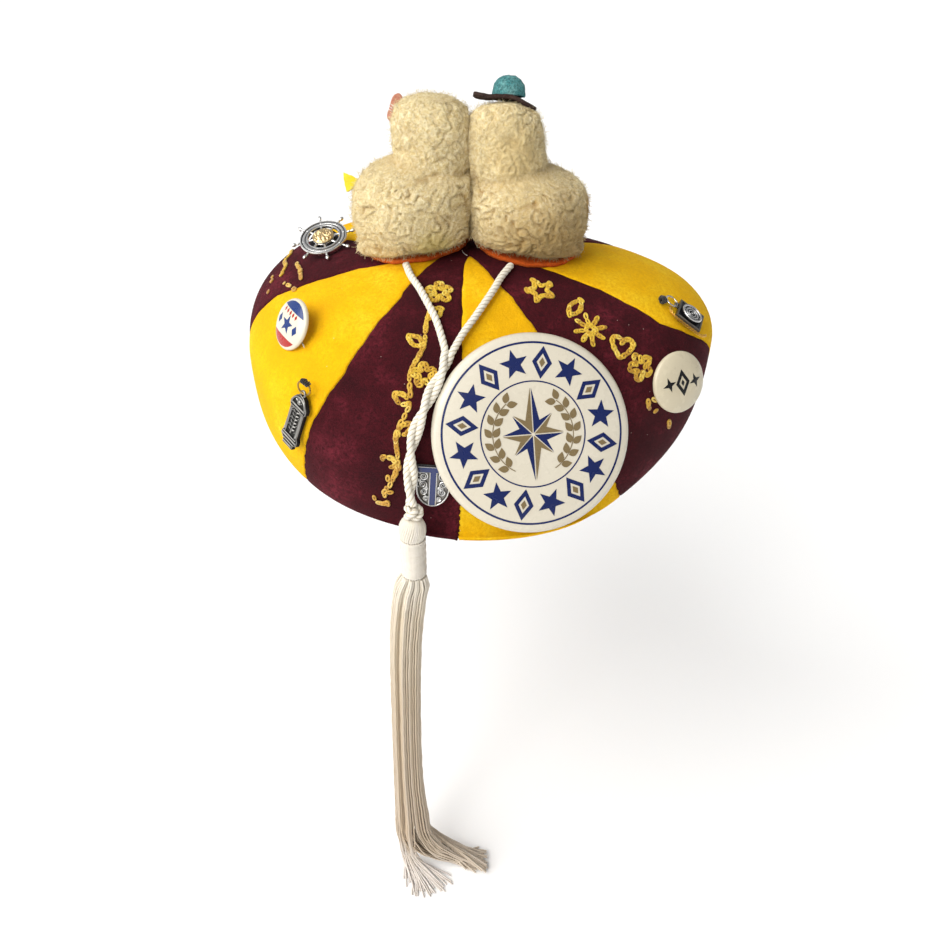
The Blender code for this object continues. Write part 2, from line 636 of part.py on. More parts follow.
def build_wheel_pin():
    """A ship's-wheel pin: ring, spokes and handles in one, a dark backing and a rough gold hub."""
    facing, upward = (-0.13, -0.33, 0.935), (-0.2, 0.95, 0.2)
    ring, inner, core = WHEEL_RING_RADIUS, WHEEL_RING_RADIUS * 0.66, WHEEL_RING_RADIUS * 0.45
    neck, knob, reach = 0.55 * MM, 0.95 * MM, WHEEL_RING_RADIUS * 1.36
    outside, holes = [], []
    for k in range(8):
        turn = 45 * k
        spin = radians(turn)
        handle = [(ring * 0.995, -neck), (reach - 2.4 * MM, -neck), (reach - 1.6 * MM, -knob),
                  (reach - 0.3 * MM, -knob * 0.7), (reach, 0), (reach - 0.3 * MM, knob * 0.7),
                  (reach - 1.6 * MM, knob), (reach - 2.4 * MM, neck), (ring * 0.995, neck)]
        outside += [(x * cos(spin) - y * sin(spin), x * sin(spin) + y * cos(spin)) for x, y in handle]
        outside += arc(ring, turn + 9, turn + 36, 3)
        wide, slim = 22.5 - degrees(0.75 * MM / inner), 22.5 - degrees(0.75 * MM / core)
        middle = turn + 22.5
        holes.append(arc(inner, middle - wide, middle + wide, 3) + arc(core, middle + slim, middle - slim, 2))
    spot = seat(254, 0.44, facing, ring)
    out = Vector(facing).normalized()
    backing = flat_outline("wheel_pin_backing", [arc(inner - 0.6 * MM, 0, 345, 23)], 0.7 * MM, "black_enamel")
    stand(backing, spot + out * 0.35 * MM, facing, upward)
    frame = flat_outline("wheel_pin_frame", [outside] + holes, 1.8 * MM, "silver_metal")
    stand(frame, spot + out * (0.7 + 0.3 + 0.9) * MM, facing, upward)
    profile = ((0, 1.9), (0.5, 1.7), (0.87, 1.1), (1.02, 0.4), (1.02, 0.0), (0, 0))
    hub = turned("wheel_pin_hub", [(r * core, z * MM) for r, z in profile], "gold_metal", 14)
    stand(hub, spot + out * (0.7 + 0.3 + 1.8 + 0.3) * MM, facing, upward)


def build_crest_pin():
    """A small shield pin with a T-shaped enamel band, half under the large button."""
    facing = (0.02, -0.985, 0.17)
    half = CREST_WIDTH / 2
    bottom = -CREST_HEIGHT * 0.62
    shield = [(-half, CREST_HEIGHT * 0.38), (-half, -half * 0.5)]
    shield += [(half * cos(radians(a)), -half * 0.5 + (bottom + half * 0.5) * -sin(radians(a)))
               for a in range(200, 341, 20)]
    shield += [(half, -half * 0.5), (half, CREST_HEIGHT * 0.38)]
    body = flat_outline("crest_pin_shield", [shield], 1.3 * MM, "silver_metal")
    upward = (0.07, 0, 1)
    spot = seat(CREST_AZIMUTH, 0.915, facing, half) + Vector((0, 0, -1.4 * MM))
    out = Vector(facing).normalized()
    stand(body, spot + out * 0.65 * MM, facing, upward)
    top, bar, band = CREST_HEIGHT * 0.38 - 0.5 * MM, 2.6 * MM, 1.5 * MM
    tee = [(-half + 0.6 * MM, top), (-half + 0.6 * MM, top - bar), (-band, top - bar),
           (-band, bottom + 1.2 * MM), (band, bottom + 1.2 * MM), (band, top - bar),
           (half - 0.6 * MM, top - bar), (half - 0.6 * MM, top)]
    enamel = flat_outline("crest_pin_band", [tee], 0.5 * MM, "blue_enamel")
    stand(enamel, spot + out * (1.3 + 0.3 + 0.25) * MM, facing, upward)


def build_left_charm():
    """A pewter plaque with an arched top and a stepped base, hung on a brass ring."""
    facing = Vector((-0.70, -0.66, 0.26)).normalized()
    hang = Vector((-0.20, 0.12, -1.0))
    w, h = PLAQUE_WIDTH / 2, PLAQUE_HEIGHT / 2
    right = [(w * 0.62, -h), (w * 0.62, -h + 2.0 * MM), (w, -h + 3.2 * MM), (w, -h + 5.4 * MM),
             (w * 0.84, -h + 6.6 * MM), (w * 0.84, h - 8.2 * MM), (w, h - 7.2 * MM), (w, h - 5.4 * MM),
             (w * 0.78, h - 3.4 * MM), (w * 0.5, h - 1.4 * MM), (w * 0.2, h - 0.3 * MM)]
    outline = right + [(-x, y) for x, y in reversed(right)]
    plaque = plate_with_eyes("charm_left_plaque", [outline], 3.0 * MM, "pewter_metal",
                             [(0, h + 0.6 * MM, 0)], 1.5 * MM, 0.5 * MM)
    spot = seat(-47.5, 0.925, facing, h, half_width=w, upward=tuple(-hang)) + facing * 1.5 * MM
    stand(plaque, spot, facing, -hang)
    up = (-hang - facing * (-hang).dot(facing)).normalized()
    ring = metal_ring("charm_left_ring", 3.4 * MM, 0.45 * MM, "brass_metal")
    swung = Vector((-0.40, -0.82, 0.40))
    stand(ring, spot + up * (h + 0.9 * MM + 3.4 * MM), swung - up * swung.dot(up), up)


def build_right_charm():
    """A square plate with a raised disc, its jump ring and thread knot, and a fine chain beside it."""
    facing = Vector((0.50, -0.24, 0.83)).normalized()
    along = Vector((0.84, -0.22, -0.50))
    along = (along - facing * along.dot(facing)).normalized()
    up = facing.cross(along)
    half = PLATE_SIDE / 2
    square = [(-half, -half), (half, -half), (half, half), (-half, half)]
    plate = plate_with_eyes("charm_right_plate", [square], 1.8 * MM, "black_enamel",
                            [(-half - 0.5 * MM, 1 * MM, pi / 2)], 1.5 * MM, 0.5 * MM)
    spot = seat(78.3, 0.715, facing, half * 1.2) + facing * 0.9 * MM
    stand(plate, spot, facing, up)
    profile = ((0, 1.2), (0.23, 1.3), (0.31, 0.7), (0.44, 0.7), (0.53, 1.5), (0.71, 1.5), (0.80, 0.9),
               (0.80, 0.0), (0, 0))
    disc = turned("charm_right_disc", [(r * half, z * MM) for r, z in profile], "silver_metal", 20)
    stand(disc, spot + facing * (0.9 + 0.3) * MM, facing, up)
    ring_at = spot - along * (half + 0.9 * MM + 3.2 * MM) + up * 1 * MM
    ring = metal_ring("charm_right_ring", 3.2 * MM, 0.4 * MM, "silver_metal")
    stand(ring, ring_at, facing, up)
    knot_at = Vector(felt(76.8, 0.585, 2.2 * MM))
    rings = []
    for i in range(6):
        a = pi * (i + 0.5) / 6
        rings.append([(2.3 * MM * sin(a) * cos(pi * j / 5) * (1 + 0.1 * (j % 2)),
                       1.9 * MM * sin(a) * sin(pi * j / 5), -1.9 * MM * cos(a)) for j in range(10)])
    knot = loft("charm_right_thread_knot", rings, "black_thread")
    stand(knot, knot_at, felt_normal(76.8, 0.585))
    stops = [spot + (along * x + up * y) * half / 7 for x, y in (
        (-10.5, -1.1), (-11.0, -3.7), (-10.3, -6.2), (-7.8, -8.4), (-3.0, -8.9), (3.5, -8.9), (8.4, -8.4),
        (10.9, -5.6), (11.6, -2.0))]
    rings = []
    links, steps = 9, 4
    for i in range(links * steps + 1):
        s = i / (links * steps) * 5.999
        a, b, c, d = stops[int(s):int(s) + 4]
        u = s - int(s)
        at = 0.5 * (2 * b + (c - a) * u + (2 * a - 5 * b + 4 * c - d) * u ** 2 + (3 * b - a - 3 * c + d) * u ** 3)
        way = ((c - a) * (1 - u) + (d - b) * u).normalized()
        side = way.cross(facing).normalized()
        thick = (0.45 + 0.4 * abs(sin(pi * i / steps))) * MM
        rings.append([at + side * thick * cos(pi * j / 3) + side.cross(way) * thick * sin(pi * j / 3) * -1
                      for j in range(6)])
    loft("charm_right_chain", rings, "gold_metal")


# Cords and tassel
def smooth_route(rows, lifts, spacing):
    """Evenly spaced points over the felt through a route's rows, by a Catmull-Rom curve."""
    rows = [tuple(map(float, row)) + (float(lift),) for row, lift in zip(rows, lifts)]
    ends = [np.subtract(np.multiply(2, rows[0]), rows[1])] + rows + [np.subtract(np.multiply(2, rows[-1]), rows[-2])]
    fine = []
    for a, b, c, d in zip(ends[:-3], ends[1:-2], ends[2:-1], ends[3:]):
        a, b, c, d = map(np.asarray, (a, b, c, d))
        for s in np.arange(0, 1, 0.05):
            fine.append(0.5 * (2 * b + (c - a) * s + (2 * a - 5 * b + 4 * c - d) * s ** 2
                               + (3 * b - a - 3 * c + d) * s ** 3))
    fine.append(np.asarray(rows[-1]))
    fine = np.array(fine)
    points = np.array([felt(az, t, lift) for az, t, lift in fine])
    run = np.concatenate([[0], np.cumsum(np.linalg.norm(np.diff(points, axis=0), axis=1))])
    count = max(2, round(run[-1] / spacing) + 1)
    stops = np.linspace(0, run[-1], count)
    picked = np.stack([np.interp(stops, run, fine[:, k]) for k in range(3)], -1)
    return np.array([felt(az, t, lift) for az, t, lift in picked]), \
        np.array([felt_normal(az, t) for az, t, _ in picked]), stops


def build_cords():
    """Two strands over the felt that meet and are twisted round each other down to the knot."""
    alone = CORD_DIAMETER / 2 + FIT_GAP
    helix = CORD_DIAMETER * 0.56
    together = helix + CORD_DIAMETER / 2 + FIT_GAP
    clear = column(TWISTED_PAIR, TWISTED_COLUMNS, "clear_of_felt_mm") * MM
    centre, normals, run = smooth_route([row[:2] for row in TWISTED_PAIR], together + clear, TWIST_PITCH / 8)
    last = Vector((TASSEL_X, TASSEL_Y, TASSEL_TOP)) + Vector((0, 0.3 * MM, 6.5 * MM))
    centre = np.vstack([centre, [np.array(last)]])
    normals = np.vstack([normals, [(0, -1, 0)]])
    run = np.append(run, run[-1] + np.linalg.norm(centre[-1] - centre[-2]))
    ways = np.gradient(centre, axis=0)
    for name, strand, start in (("cord_left", LEFT_STRAND, -pi / 2), ("cord_right", RIGHT_STRAND, pi / 2)):
        lifts = [alone + 0.4 * MM] * (len(strand) - 1) + [(alone + together) / 2]
        points = list(smooth_route(strand, lifts, 9 * MM)[0])
        for at, out, way, s in zip(centre, normals, ways, run):
            way = way / np.linalg.norm(way)
            side = np.cross(out, way)
            side /= np.linalg.norm(side)
            up = np.cross(way, side)
            a = start + 2 * pi * s / TWIST_PITCH
            points.append(at + helix * (sin(a) * side + cos(a) * up))
        tube(name, points, CORD_DIAMETER, "ivory_cord")


def build_tassel():
    lobes = 12
    rings = []
    for i in range(7):
        a = pi * (i + 0.5) / 7
        swell = 4.6 * MM * sin(a)
        rings.append([(swell * (1 + 0.08 * (j % 2)) * cos(2 * pi * j / lobes),
                       swell * (1 + 0.08 * (j % 2)) * sin(2 * pi * j / lobes), -2.6 * MM * cos(a))
                      for j in range(lobes)])
    knot = loft("cord_knot", rings, "ivory_cord")
    stand(knot, (TASSEL_X, TASSEL_Y, TASSEL_TOP + FIT_GAP + 2.6 * MM))
    profile = ((0, 0), (0.42, -0.02), (0.74, -0.14), (0.94, -0.36), (1, -0.61), (0.95, -0.84), (0.87, -1), (0, -1))
    head = turned("tassel_head", [(r * HEAD_RADIUS, z * HEAD_LENGTH) for r, z in profile], "ivory_cord", 16)
    stand(head, (TASSEL_X, TASSEL_Y, TASSEL_TOP))
    profile = ((0, 0), (0.93, 0), (1, -0.06), (0.98, -0.5), (1, -0.95), (0.93, -1), (0, -1))
    long = WRAP_LENGTH - FIT_GAP
    wrap = turned("tassel_wrap", [(r * WRAP_RADIUS, z * long) for r, z in profile], "ivory_cord", 16)
    stand(wrap, (TASSEL_X, TASSEL_Y, TASSEL_TOP - HEAD_LENGTH - FIT_GAP))
    top = TASSEL_TOP - HEAD_LENGTH - WRAP_LENGTH - 2 * FIT_GAP
    values = {key: SKIRT_LENGTH * column(SKIRT_SECTIONS, SKIRT_COLUMNS, key) for key in SKIRT_COLUMNS}
    middle = np.stack([TASSEL_X + values["aside"], TASSEL_Y - values["ahead"], top - values["drop"]], -1)
    ways = np.gradient(middle, axis=0)
    rings = []
    for i in range(len(middle) - 1, -1, -1):
        way = ways[i] / np.linalg.norm(ways[i])
        across = np.array((1.0, 0, 0)) - way * way[0]
        across /= np.linalg.norm(across)
        deep = np.cross(across, way)
        ring = []
        for j in range(2 * SKIRT_LOCKS):
            a = pi * j / SKIRT_LOCKS
            lock = 1.0 if j % 2 else 0.84
            at = middle[i] + lock * (values["half_width"][i] * cos(a) * across
                                     + values["half_depth"][i] * sin(a) * deep)
            ring.append((at[0], at[1], max(at[2], FLOOR_LEVEL + 0.2 * MM + 0.05 * MM * (j % 3))))
        rings.append(ring)
    loft("tassel_skirt", rings, "tassel_silk")


for number in range(len(SEAMS)):
    build_gore(number)
for sole in SOLES:
    build_sole(sole)
for chick in CHICKS:
    build_chick(chick)
build_chick_hat()
build_scrap("felt_scrap_salmon", by_chick("chick_left", -0.616, 0.46, 0.848), (-0.25, -0.85, 0.50),
            (0.25, 0.1, 1), 4.2 * MM, 7.0 * MM, "salmon_felt")
build_scrap("felt_scrap_yellow", by_chick("chick_left", -1.003, 0.467, 0.40, leaning=0.0), (-0.2, -0.85, 0.5),
            (-0.25, 0.1, 1), 3.2 * MM, 5.2 * MM, "yellow_felt")
build_button("button_large", LARGE_BUTTON_DIAMETER, 7.5 * MM, "ivory_enamel", 20.0, 0.80,
             (0.135, -0.870, 0.474), 40)
build_button("button_small", SMALL_BUTTON_DIAMETER, 3.8 * MM, "banded_enamel", -62.0, 0.60,
             (-0.70, -0.53, 0.48), 24, hollow=1.5 * MM, pressed=0.6 * MM)
build_button("button_plain", PLAIN_BUTTON_DIAMETER, 4.4 * MM, "white_enamel", 64.3, 0.915,
             (0.47, -0.81, 0.35), 26)
build_wheel_pin()
build_crest_pin()
build_left_charm()
build_right_charm()
build_cords()
build_tassel()
bpy.context.view_layer.update()
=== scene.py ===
# %% [markdown]
# # A freshman beanie, piece by piece
# The cap is eight wedges of wool felt, called gores, in maroon and gold. Two plush chicks stand on its
# crown, badges and charms are pinned round it, and a twisted cord lets a long tassel hang in front.
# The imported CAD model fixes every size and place, and this lesson gives each piece its look.

from math import atan2, cos, degrees, hypot, pi, radians, sin

import bmesh
import bpy
import numpy as np
from mathutils import Matrix, Vector, noise


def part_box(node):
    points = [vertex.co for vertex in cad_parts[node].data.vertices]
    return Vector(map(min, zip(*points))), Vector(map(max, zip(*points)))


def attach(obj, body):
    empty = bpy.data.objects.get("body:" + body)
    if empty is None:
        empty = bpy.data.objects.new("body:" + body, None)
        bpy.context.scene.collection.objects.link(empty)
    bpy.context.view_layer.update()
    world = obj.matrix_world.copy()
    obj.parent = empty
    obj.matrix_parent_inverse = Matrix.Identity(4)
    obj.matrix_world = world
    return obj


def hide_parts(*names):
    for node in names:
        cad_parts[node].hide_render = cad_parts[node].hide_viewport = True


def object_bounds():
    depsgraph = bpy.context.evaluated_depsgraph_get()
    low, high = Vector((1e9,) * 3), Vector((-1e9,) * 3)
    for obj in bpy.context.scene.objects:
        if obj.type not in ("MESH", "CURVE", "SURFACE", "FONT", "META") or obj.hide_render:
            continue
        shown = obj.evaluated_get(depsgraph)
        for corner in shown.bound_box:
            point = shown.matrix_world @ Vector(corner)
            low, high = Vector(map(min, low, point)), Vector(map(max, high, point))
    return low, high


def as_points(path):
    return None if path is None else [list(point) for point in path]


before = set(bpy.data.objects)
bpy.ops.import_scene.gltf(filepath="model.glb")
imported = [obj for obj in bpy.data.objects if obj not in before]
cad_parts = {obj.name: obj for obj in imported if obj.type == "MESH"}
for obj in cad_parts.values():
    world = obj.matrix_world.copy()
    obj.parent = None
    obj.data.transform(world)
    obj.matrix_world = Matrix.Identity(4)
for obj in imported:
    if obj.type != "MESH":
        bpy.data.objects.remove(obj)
cad_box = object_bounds()
MM = 0.001
FLOOR_LEVEL = cad_box[0].z
print("CAD nodes:", len(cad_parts), "box in mm:", [round((b - a) / MM) for a, b in zip(*cad_box)])

# %% [markdown]
# ## Camera, floor and light
# The picture was taken from in front and 35 degrees above, close enough for strong perspective, so the
# camera stands half a metre away with a 38 mm lens. The floor is plain and pale. The light is a large
# soft source up on the left, with the pale surroundings filling in the right side.

# %% Camera
camera = bpy.data.objects.new("camera", bpy.data.cameras.new("camera"))
camera.data.sensor_width, camera.data.lens = 36, 37.9
camera.location = (0.0042, -0.4571, 0.2878)
camera.rotation_euler = (radians(55), 0, 0)
bpy.context.scene.collection.objects.link(camera)
bpy.context.scene.camera = camera
bpy.context.scene.view_settings.view_transform = "Standard"
print("camera distance from the cap:", round((camera.location - Vector((0, 0, 0.05))).length, 3), "m")


# %% Colours and nodes
def colour(code):
    """An sRGB hex value as the linear colour that shaders use."""
    parts = [int(code[i:i + 2], 16) / 255 for i in (1, 3, 5)]
    return (*[c / 12.92 if c <= 0.04045 else ((c + 0.055) / 1.055) ** 2.4 for c in parts], 1.0)


SHORT = {   # a node's type, its settings, the inputs that values fill in turn, and the output handed on
    "noise": ("ShaderNodeTexNoise", {}, ("Vector", "Scale", "Detail", "Roughness", "Distortion"), 0),
    "mix": ("ShaderNodeMix", {"data_type": "RGBA"}, (0, 6, 7), 2),
    "ramp": ("ShaderNodeValToRGB", {}, (0,), 0),
    "random": ("FunctionNodeRandomValue", {"data_type": "FLOAT"}, (2, 3, "Seed"), 1),
}


def add(tree, kind, *values, out=0, stops=(), **settings):
    """Adds a node with its settings and hands on one output, or the node itself if out is None.

    Values fill the inputs in turn, or by name in a dict; each is a value or another node's output.
    A kind in capitals is an operation of the maths node. Stops are a ramp's places and hex colours.
    """
    if kind.isupper():
        kind, settings = "ShaderNodeMath", {"operation": kind}
    kind, fixed, order, out = SHORT.get(kind, (kind, {}, range(len(values)), out))
    node = tree.nodes.new(kind)
    for key, value in {**fixed, **settings}.items():
        setattr(node, key, value)
    by_name = values and isinstance(values[0], dict)
    for key, value in (values[0] if by_name else dict(zip(order, values))).items():
        if isinstance(value, bpy.types.NodeSocket):
            tree.links.new(value, node.inputs[key])
        else:
            node.inputs[key].default_value = value
    for _ in stops[2:]:   # a ramp comes with two elements
        node.color_ramp.elements.new(0.5)
    for element, (position, code) in zip(node.color_ramp.elements if stops else (), stops):
        element.position, element.color = position, colour(code)
    return node if out is None else node.outputs[out]


def start_material(name, code, roughness, **constant):
    """A Principled material with its own constant sockets, and its Object coordinates."""
    made = bpy.data.materials.new(name)
    made.use_nodes = True
    tree = made.node_tree
    shader = tree.nodes["Principled BSDF"]
    shader.inputs["Base Color"].default_value = colour(code)
    shader.inputs["Roughness"].default_value = roughness
    for key, value in constant.items():
        shader.inputs[key.replace("_", " ")].default_value = value
    made.diffuse_color = colour(code)
    return made, tree, shader, add(tree, "ShaderNodeTexCoord", out="Object")


def surface(tree, shader, skin, height, depth, strength=1.0):
    """Links a colour, if any, and bump from a height pattern with its depth in metres."""
    if skin is not None:
        tree.links.new(skin, shader.inputs["Base Color"])
    bump = add(tree, "ShaderNodeBump", {"Height": height, "Distance": depth, "Strength": strength})
    tree.links.new(bump, shader.inputs["Normal"])


# %% Floor and light
FLOOR_REACH = 9   # metres to each side
ROOM_DARK, ROOM_BRIGHT = 0.30, 0.62   # the room's strength away from the window and towards it
paper, tree, shader, at = start_material("studio_paper", "#FFFFFF", 0.9)
floor_mesh = bpy.data.meshes.new("floor")
floor_mesh.from_pydata([(FLOOR_REACH * x, FLOOR_REACH * y, FLOOR_LEVEL)
                        for x, y in ((-1, -1), (1, -1), (1, 1), (-1, 1))], [], [(0, 1, 2, 3)])
floor_mesh.materials.append(paper)
floor = bpy.data.objects.new("floor", floor_mesh)
bpy.context.scene.collection.objects.link(floor)

world = bpy.data.worlds.new("pale_room")
bpy.context.scene.world = world
world.use_nodes = True
tree = world.node_tree
backdrop = tree.nodes["Background"]
backdrop.inputs[0].default_value = (0.97, 0.98, 1.0, 1)
across = add(tree, "ShaderNodeSeparateXYZ", add(tree, "ShaderNodeTexCoord", out="Generated"))
room = add(tree, "ShaderNodeMapRange", across, -0.7, 0.7, ROOM_BRIGHT, ROOM_DARK)
tree.links.new(room, backdrop.inputs[1])


def shine(name, kind, way, energy, tint, place=(0, 0, 0), **settings):
    """Adds a lamp that shines along a direction."""
    lamp = bpy.data.objects.new(name, bpy.data.lights.new(name, kind))
    lamp.data.energy, lamp.data.color, lamp.location = energy, tint, place
    for key, value in settings.items():
        setattr(lamp.data, key, value)
    lamp.rotation_euler = Vector(way).to_track_quat("-Z", "Y").to_euler()
    bpy.context.scene.collection.objects.link(lamp)


shine("window", "SUN", (0.72, 0.48, -0.80), 3.1, (1.0, 0.985, 0.955), angle=radians(64))
shine("glint", "AREA", (0.5, 0.9, -0.85), 2.5, (1.0, 0.99, 0.97), (-0.5, -0.9, 0.9),
      shape="DISK", size=0.35)
print("floor at", round(FLOOR_LEVEL / MM), "mm")


# %% [markdown]
# ## Meshes in place
# Each finished piece keeps its object at the origin and has its place in its mesh, as the CAD nodes do.
# A badge is drawn flat round its own middle and then moved to where the CAD node's extents say it sits.

# %% Placing pieces
def piece(name, mesh, material, slot, *nodes):
    """Links a finished mesh, rides it on the body and hides the CAD nodes it stands for."""
    obj = bpy.data.objects.new(name, mesh)
    bpy.context.scene.collection.objects.link(obj)
    if material:
        mesh.materials.clear()
        mesh.materials.append(material)
    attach(obj, "root")
    if nodes:
        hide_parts(*nodes)
    return obj


def smoothed(mesh):
    mesh.polygons.foreach_set("use_smooth", [True] * len(mesh.polygons))
    return mesh


def mesh_of(name, points, faces):
    mesh = bpy.data.meshes.new(name)
    mesh.from_pydata([tuple(p) for p in points], [], faces)
    smoothed(mesh).update()
    return mesh


def mesh_from(bm, name):
    """The finished mesh of a bmesh, which is freed."""
    mesh = bpy.data.meshes.new(name)
    bm.to_mesh(mesh)
    bm.free()
    return mesh


def grid_faces(rows, columns, closed=False):
    """The faces between neighbouring rows of points, with the last column joined to the first if closed."""
    return [(i * columns + j, i * columns + (j + 1) % columns,
             (i + 1) * columns + (j + 1) % columns, (i + 1) * columns + j)
            for i in range(rows - 1) for j in range(columns if closed else columns - 1)]


def unit(ways):
    """Vectors brought to length 1."""
    return ways / np.linalg.norm(ways, axis=-1, keepdims=True)


def circle_angles(count):
    return np.linspace(0, 2 * pi, count + 1)[:-1]


def placed(shape, x, y, turn=0.0, size=1.0):
    """Flat points turned by degrees, scaled and moved."""
    spin = radians(turn)
    return [(x + size * (u * cos(spin) - v * sin(spin)), y + size * (u * sin(spin) + v * cos(spin)))
            for u, v in shape]


def ray_star(points, outer, inner):
    return [(r * sin(pi * k / points), r * cos(pi * k / points))
            for k, r in enumerate((outer, inner) * points)]


def place_at(spot, facing, upward):
    """A spot in mm and a turn as a matrix."""
    return Matrix.Translation(Vector(spot) * MM) @ turn_to(facing, upward)


def turn_to(facing, upward=(0, 0, 1)):
    """The turn that lays Z along facing, with Y as near to upward as it goes."""
    out = Vector(facing).normalized()
    up = Vector(upward)
    up = (up - out * up.dot(out)).normalized()
    return Matrix((up.cross(out), up, out)).transposed().to_4x4()


def seat_of(node, facing, upward=(0, 0, 1)):
    """The place of a CAD node as a matrix: the middle of its back, Z along its facing."""
    axes = turn_to(facing, upward).to_3x3().transposed()
    points = np.array([axes @ v.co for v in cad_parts[node].data.vertices])
    low, high = points.min(0), points.max(0)
    middle = axes.transposed() @ Vector(((low[0] + high[0]) / 2, (low[1] + high[1]) / 2, low[2]))
    return Matrix.Translation(middle) @ axes.transposed().to_4x4()


# %% [markdown]
# ## The felt's shape
# The crown is an arc from its top to a shoulder and a second arc down to the rim, with the shoulder's
# radius and height given at eight azimuths and joined smoothly by a Fourier series. These are the CAD
# part's own numbers. An azimuth runs from the front towards +X, and t from 0 at the top over 1 at the
# shoulder to 2 at the rim.

# %% Felt surface
CROWN_HEIGHT, RIM_RADIUS, RIM_DIP, FULLNESS = 102 * MM, 95 * MM, 7 * MM, 0.976
SECTION_COLUMNS = ("shoulder_radius", "shoulder_height", "rim_radius")
SECTIONS = np.array([   # every 45 degrees from the front
    (0.937, 0.157, 1.010), (0.995, 0.353, 1.000), (1.311, 0.542, 0.984), (1.207, 0.415, 1.000),
    (1.120, 0.450, 1.010), (1.223, 0.605, 1.000), (1.155, 0.499, 0.984), (1.084, 0.353, 1.000)])
SEAM_STATIONS = (0.12, 0.32, 0.65, 1.0, 2.0)
SEAMS = (
    ("gore_front_gold", -3, -2, -1, -1.5, -2),
    ("gore_front_right_maroon", 22, 30, 35, 43, 54),
    ("gore_right_gold", 62, 66, 70.5, 85, 94),
    ("gore_back_right_maroon", 115, 112, 124, 133, 137),
    ("gore_back_left_gold", 180, 180, 180, 180, 180),
    ("gore_left_maroon", 248, 251, 230, 225, 223),
    ("gore_left_gold", 294, 283, 273.5, 272, 269),
    ("gore_front_left_maroon", 315, 323.5, 321.5, 315, 306),
)
TIP_START, TIP_END = 0.07, 0.16


def section_value(name, azimuth):
    values = SECTIONS[:, SECTION_COLUMNS.index(name)]
    terms = np.fft.rfft(values) / len(values)
    angle = np.radians(azimuth)
    total = np.full(np.shape(angle), np.real(terms[0]))
    for k in range(1, len(terms)):
        weight = 1 if 2 * k == len(values) else 2
        total = total + weight * (np.real(terms[k]) * np.cos(k * angle)
                                  - np.imag(terms[k]) * np.sin(k * angle))
    return total


def seam_azimuths(t):
    return np.array([np.interp(t, SEAM_STATIONS, row[1:]) for row in SEAMS])


def puff(azimuth, t):
    """A gore swells 1 mm between its seams."""
    azimuth, t = np.broadcast_arrays(np.asarray(azimuth, float), np.asarray(t, float))
    seams = seam_azimuths(t.ravel())
    around = (azimuth.ravel() - seams[0]) % 360 + seams[0]
    edges = np.vstack([seams, seams[:1] + 360])
    share = np.zeros(around.shape)
    for low, high in zip(edges[:-1], edges[1:]):
        inside = (around >= low) & (around < high)
        share[inside] = ((around - low) / (high - low))[inside]
    return (MM * np.sin(pi * share) * np.sin(pi * np.clip(t.ravel() / 2, 0, 1))).reshape(azimuth.shape)


def smooth_felt(azimuth, t):
    azimuth, t = np.broadcast_arrays(np.asarray(azimuth, float), np.asarray(t, float))
    shoulder = RIM_RADIUS * section_value("shoulder_radius", azimuth)
    level = CROWN_HEIGHT * section_value("shoulder_height", azimuth)
    rim = RIM_RADIUS * section_value("rim_radius", azimuth)
    above, below = np.clip(t, 0, 1) * pi / 2, np.clip(t - 1, 0, 1) * pi / 2
    radius = np.where(t <= 1, shoulder * np.sin(above) ** FULLNESS, rim + (shoulder - rim) * np.cos(below))
    height = np.where(t <= 1, level + (CROWN_HEIGHT - level) * np.cos(above) ** FULLNESS,
                      level * (1 - np.sin(below)))
    angle = np.radians(azimuth)
    height = height - RIM_DIP * np.sin(angle) * (np.clip(t, 0, 2) / 2) ** 1.5
    return np.stack([radius * np.sin(angle), -radius * np.cos(angle), height], -1)


def felt_normal(azimuth, t):
    t = np.clip(np.asarray(t, float), 0.03, 1.96)
    down = smooth_felt(azimuth, t + 0.01) - smooth_felt(azimuth, t - 0.01)
    across = smooth_felt(azimuth + 0.6, t) - smooth_felt(azimuth - 0.6, t)
    return unit(np.cross(down, across))


def felt(azimuth, t, lift=0.0):
    """Points at a lift over the felt's outer face."""
    azimuth = np.asarray(azimuth, float)
    height = np.asarray(puff(azimuth, t) + lift)[..., None]
    return smooth_felt(azimuth, t) + height * felt_normal(azimuth, t)


def felt_over(x, y, lift=0.0):
    """The point at a lift over the crown's felt above or below (x, y)."""
    azimuth = degrees(atan2(x, -y))
    shoulder = RIM_RADIUS * float(section_value("shoulder_radius", azimuth))
    share = min(hypot(x, y) / shoulder, 0.999) ** (1 / FULLNESS)
    return Vector(felt(azimuth, np.arcsin(share) * 2 / pi, lift))


print("rim about", round(2 * pi * RIM_RADIUS / MM), "mm round")

# %% [markdown]
# ## Wool felt
# Felt has no weave: its fibres lie every way, so it is matte, it catches the light softly at its edges
# and its colour is a little cloudy where the nap is rubbed. Three grains of noise give the cloudiness,
# the nap and the fibres. The real fibres are too fine to show, so the finest grain is drawn at 0.4 mm.


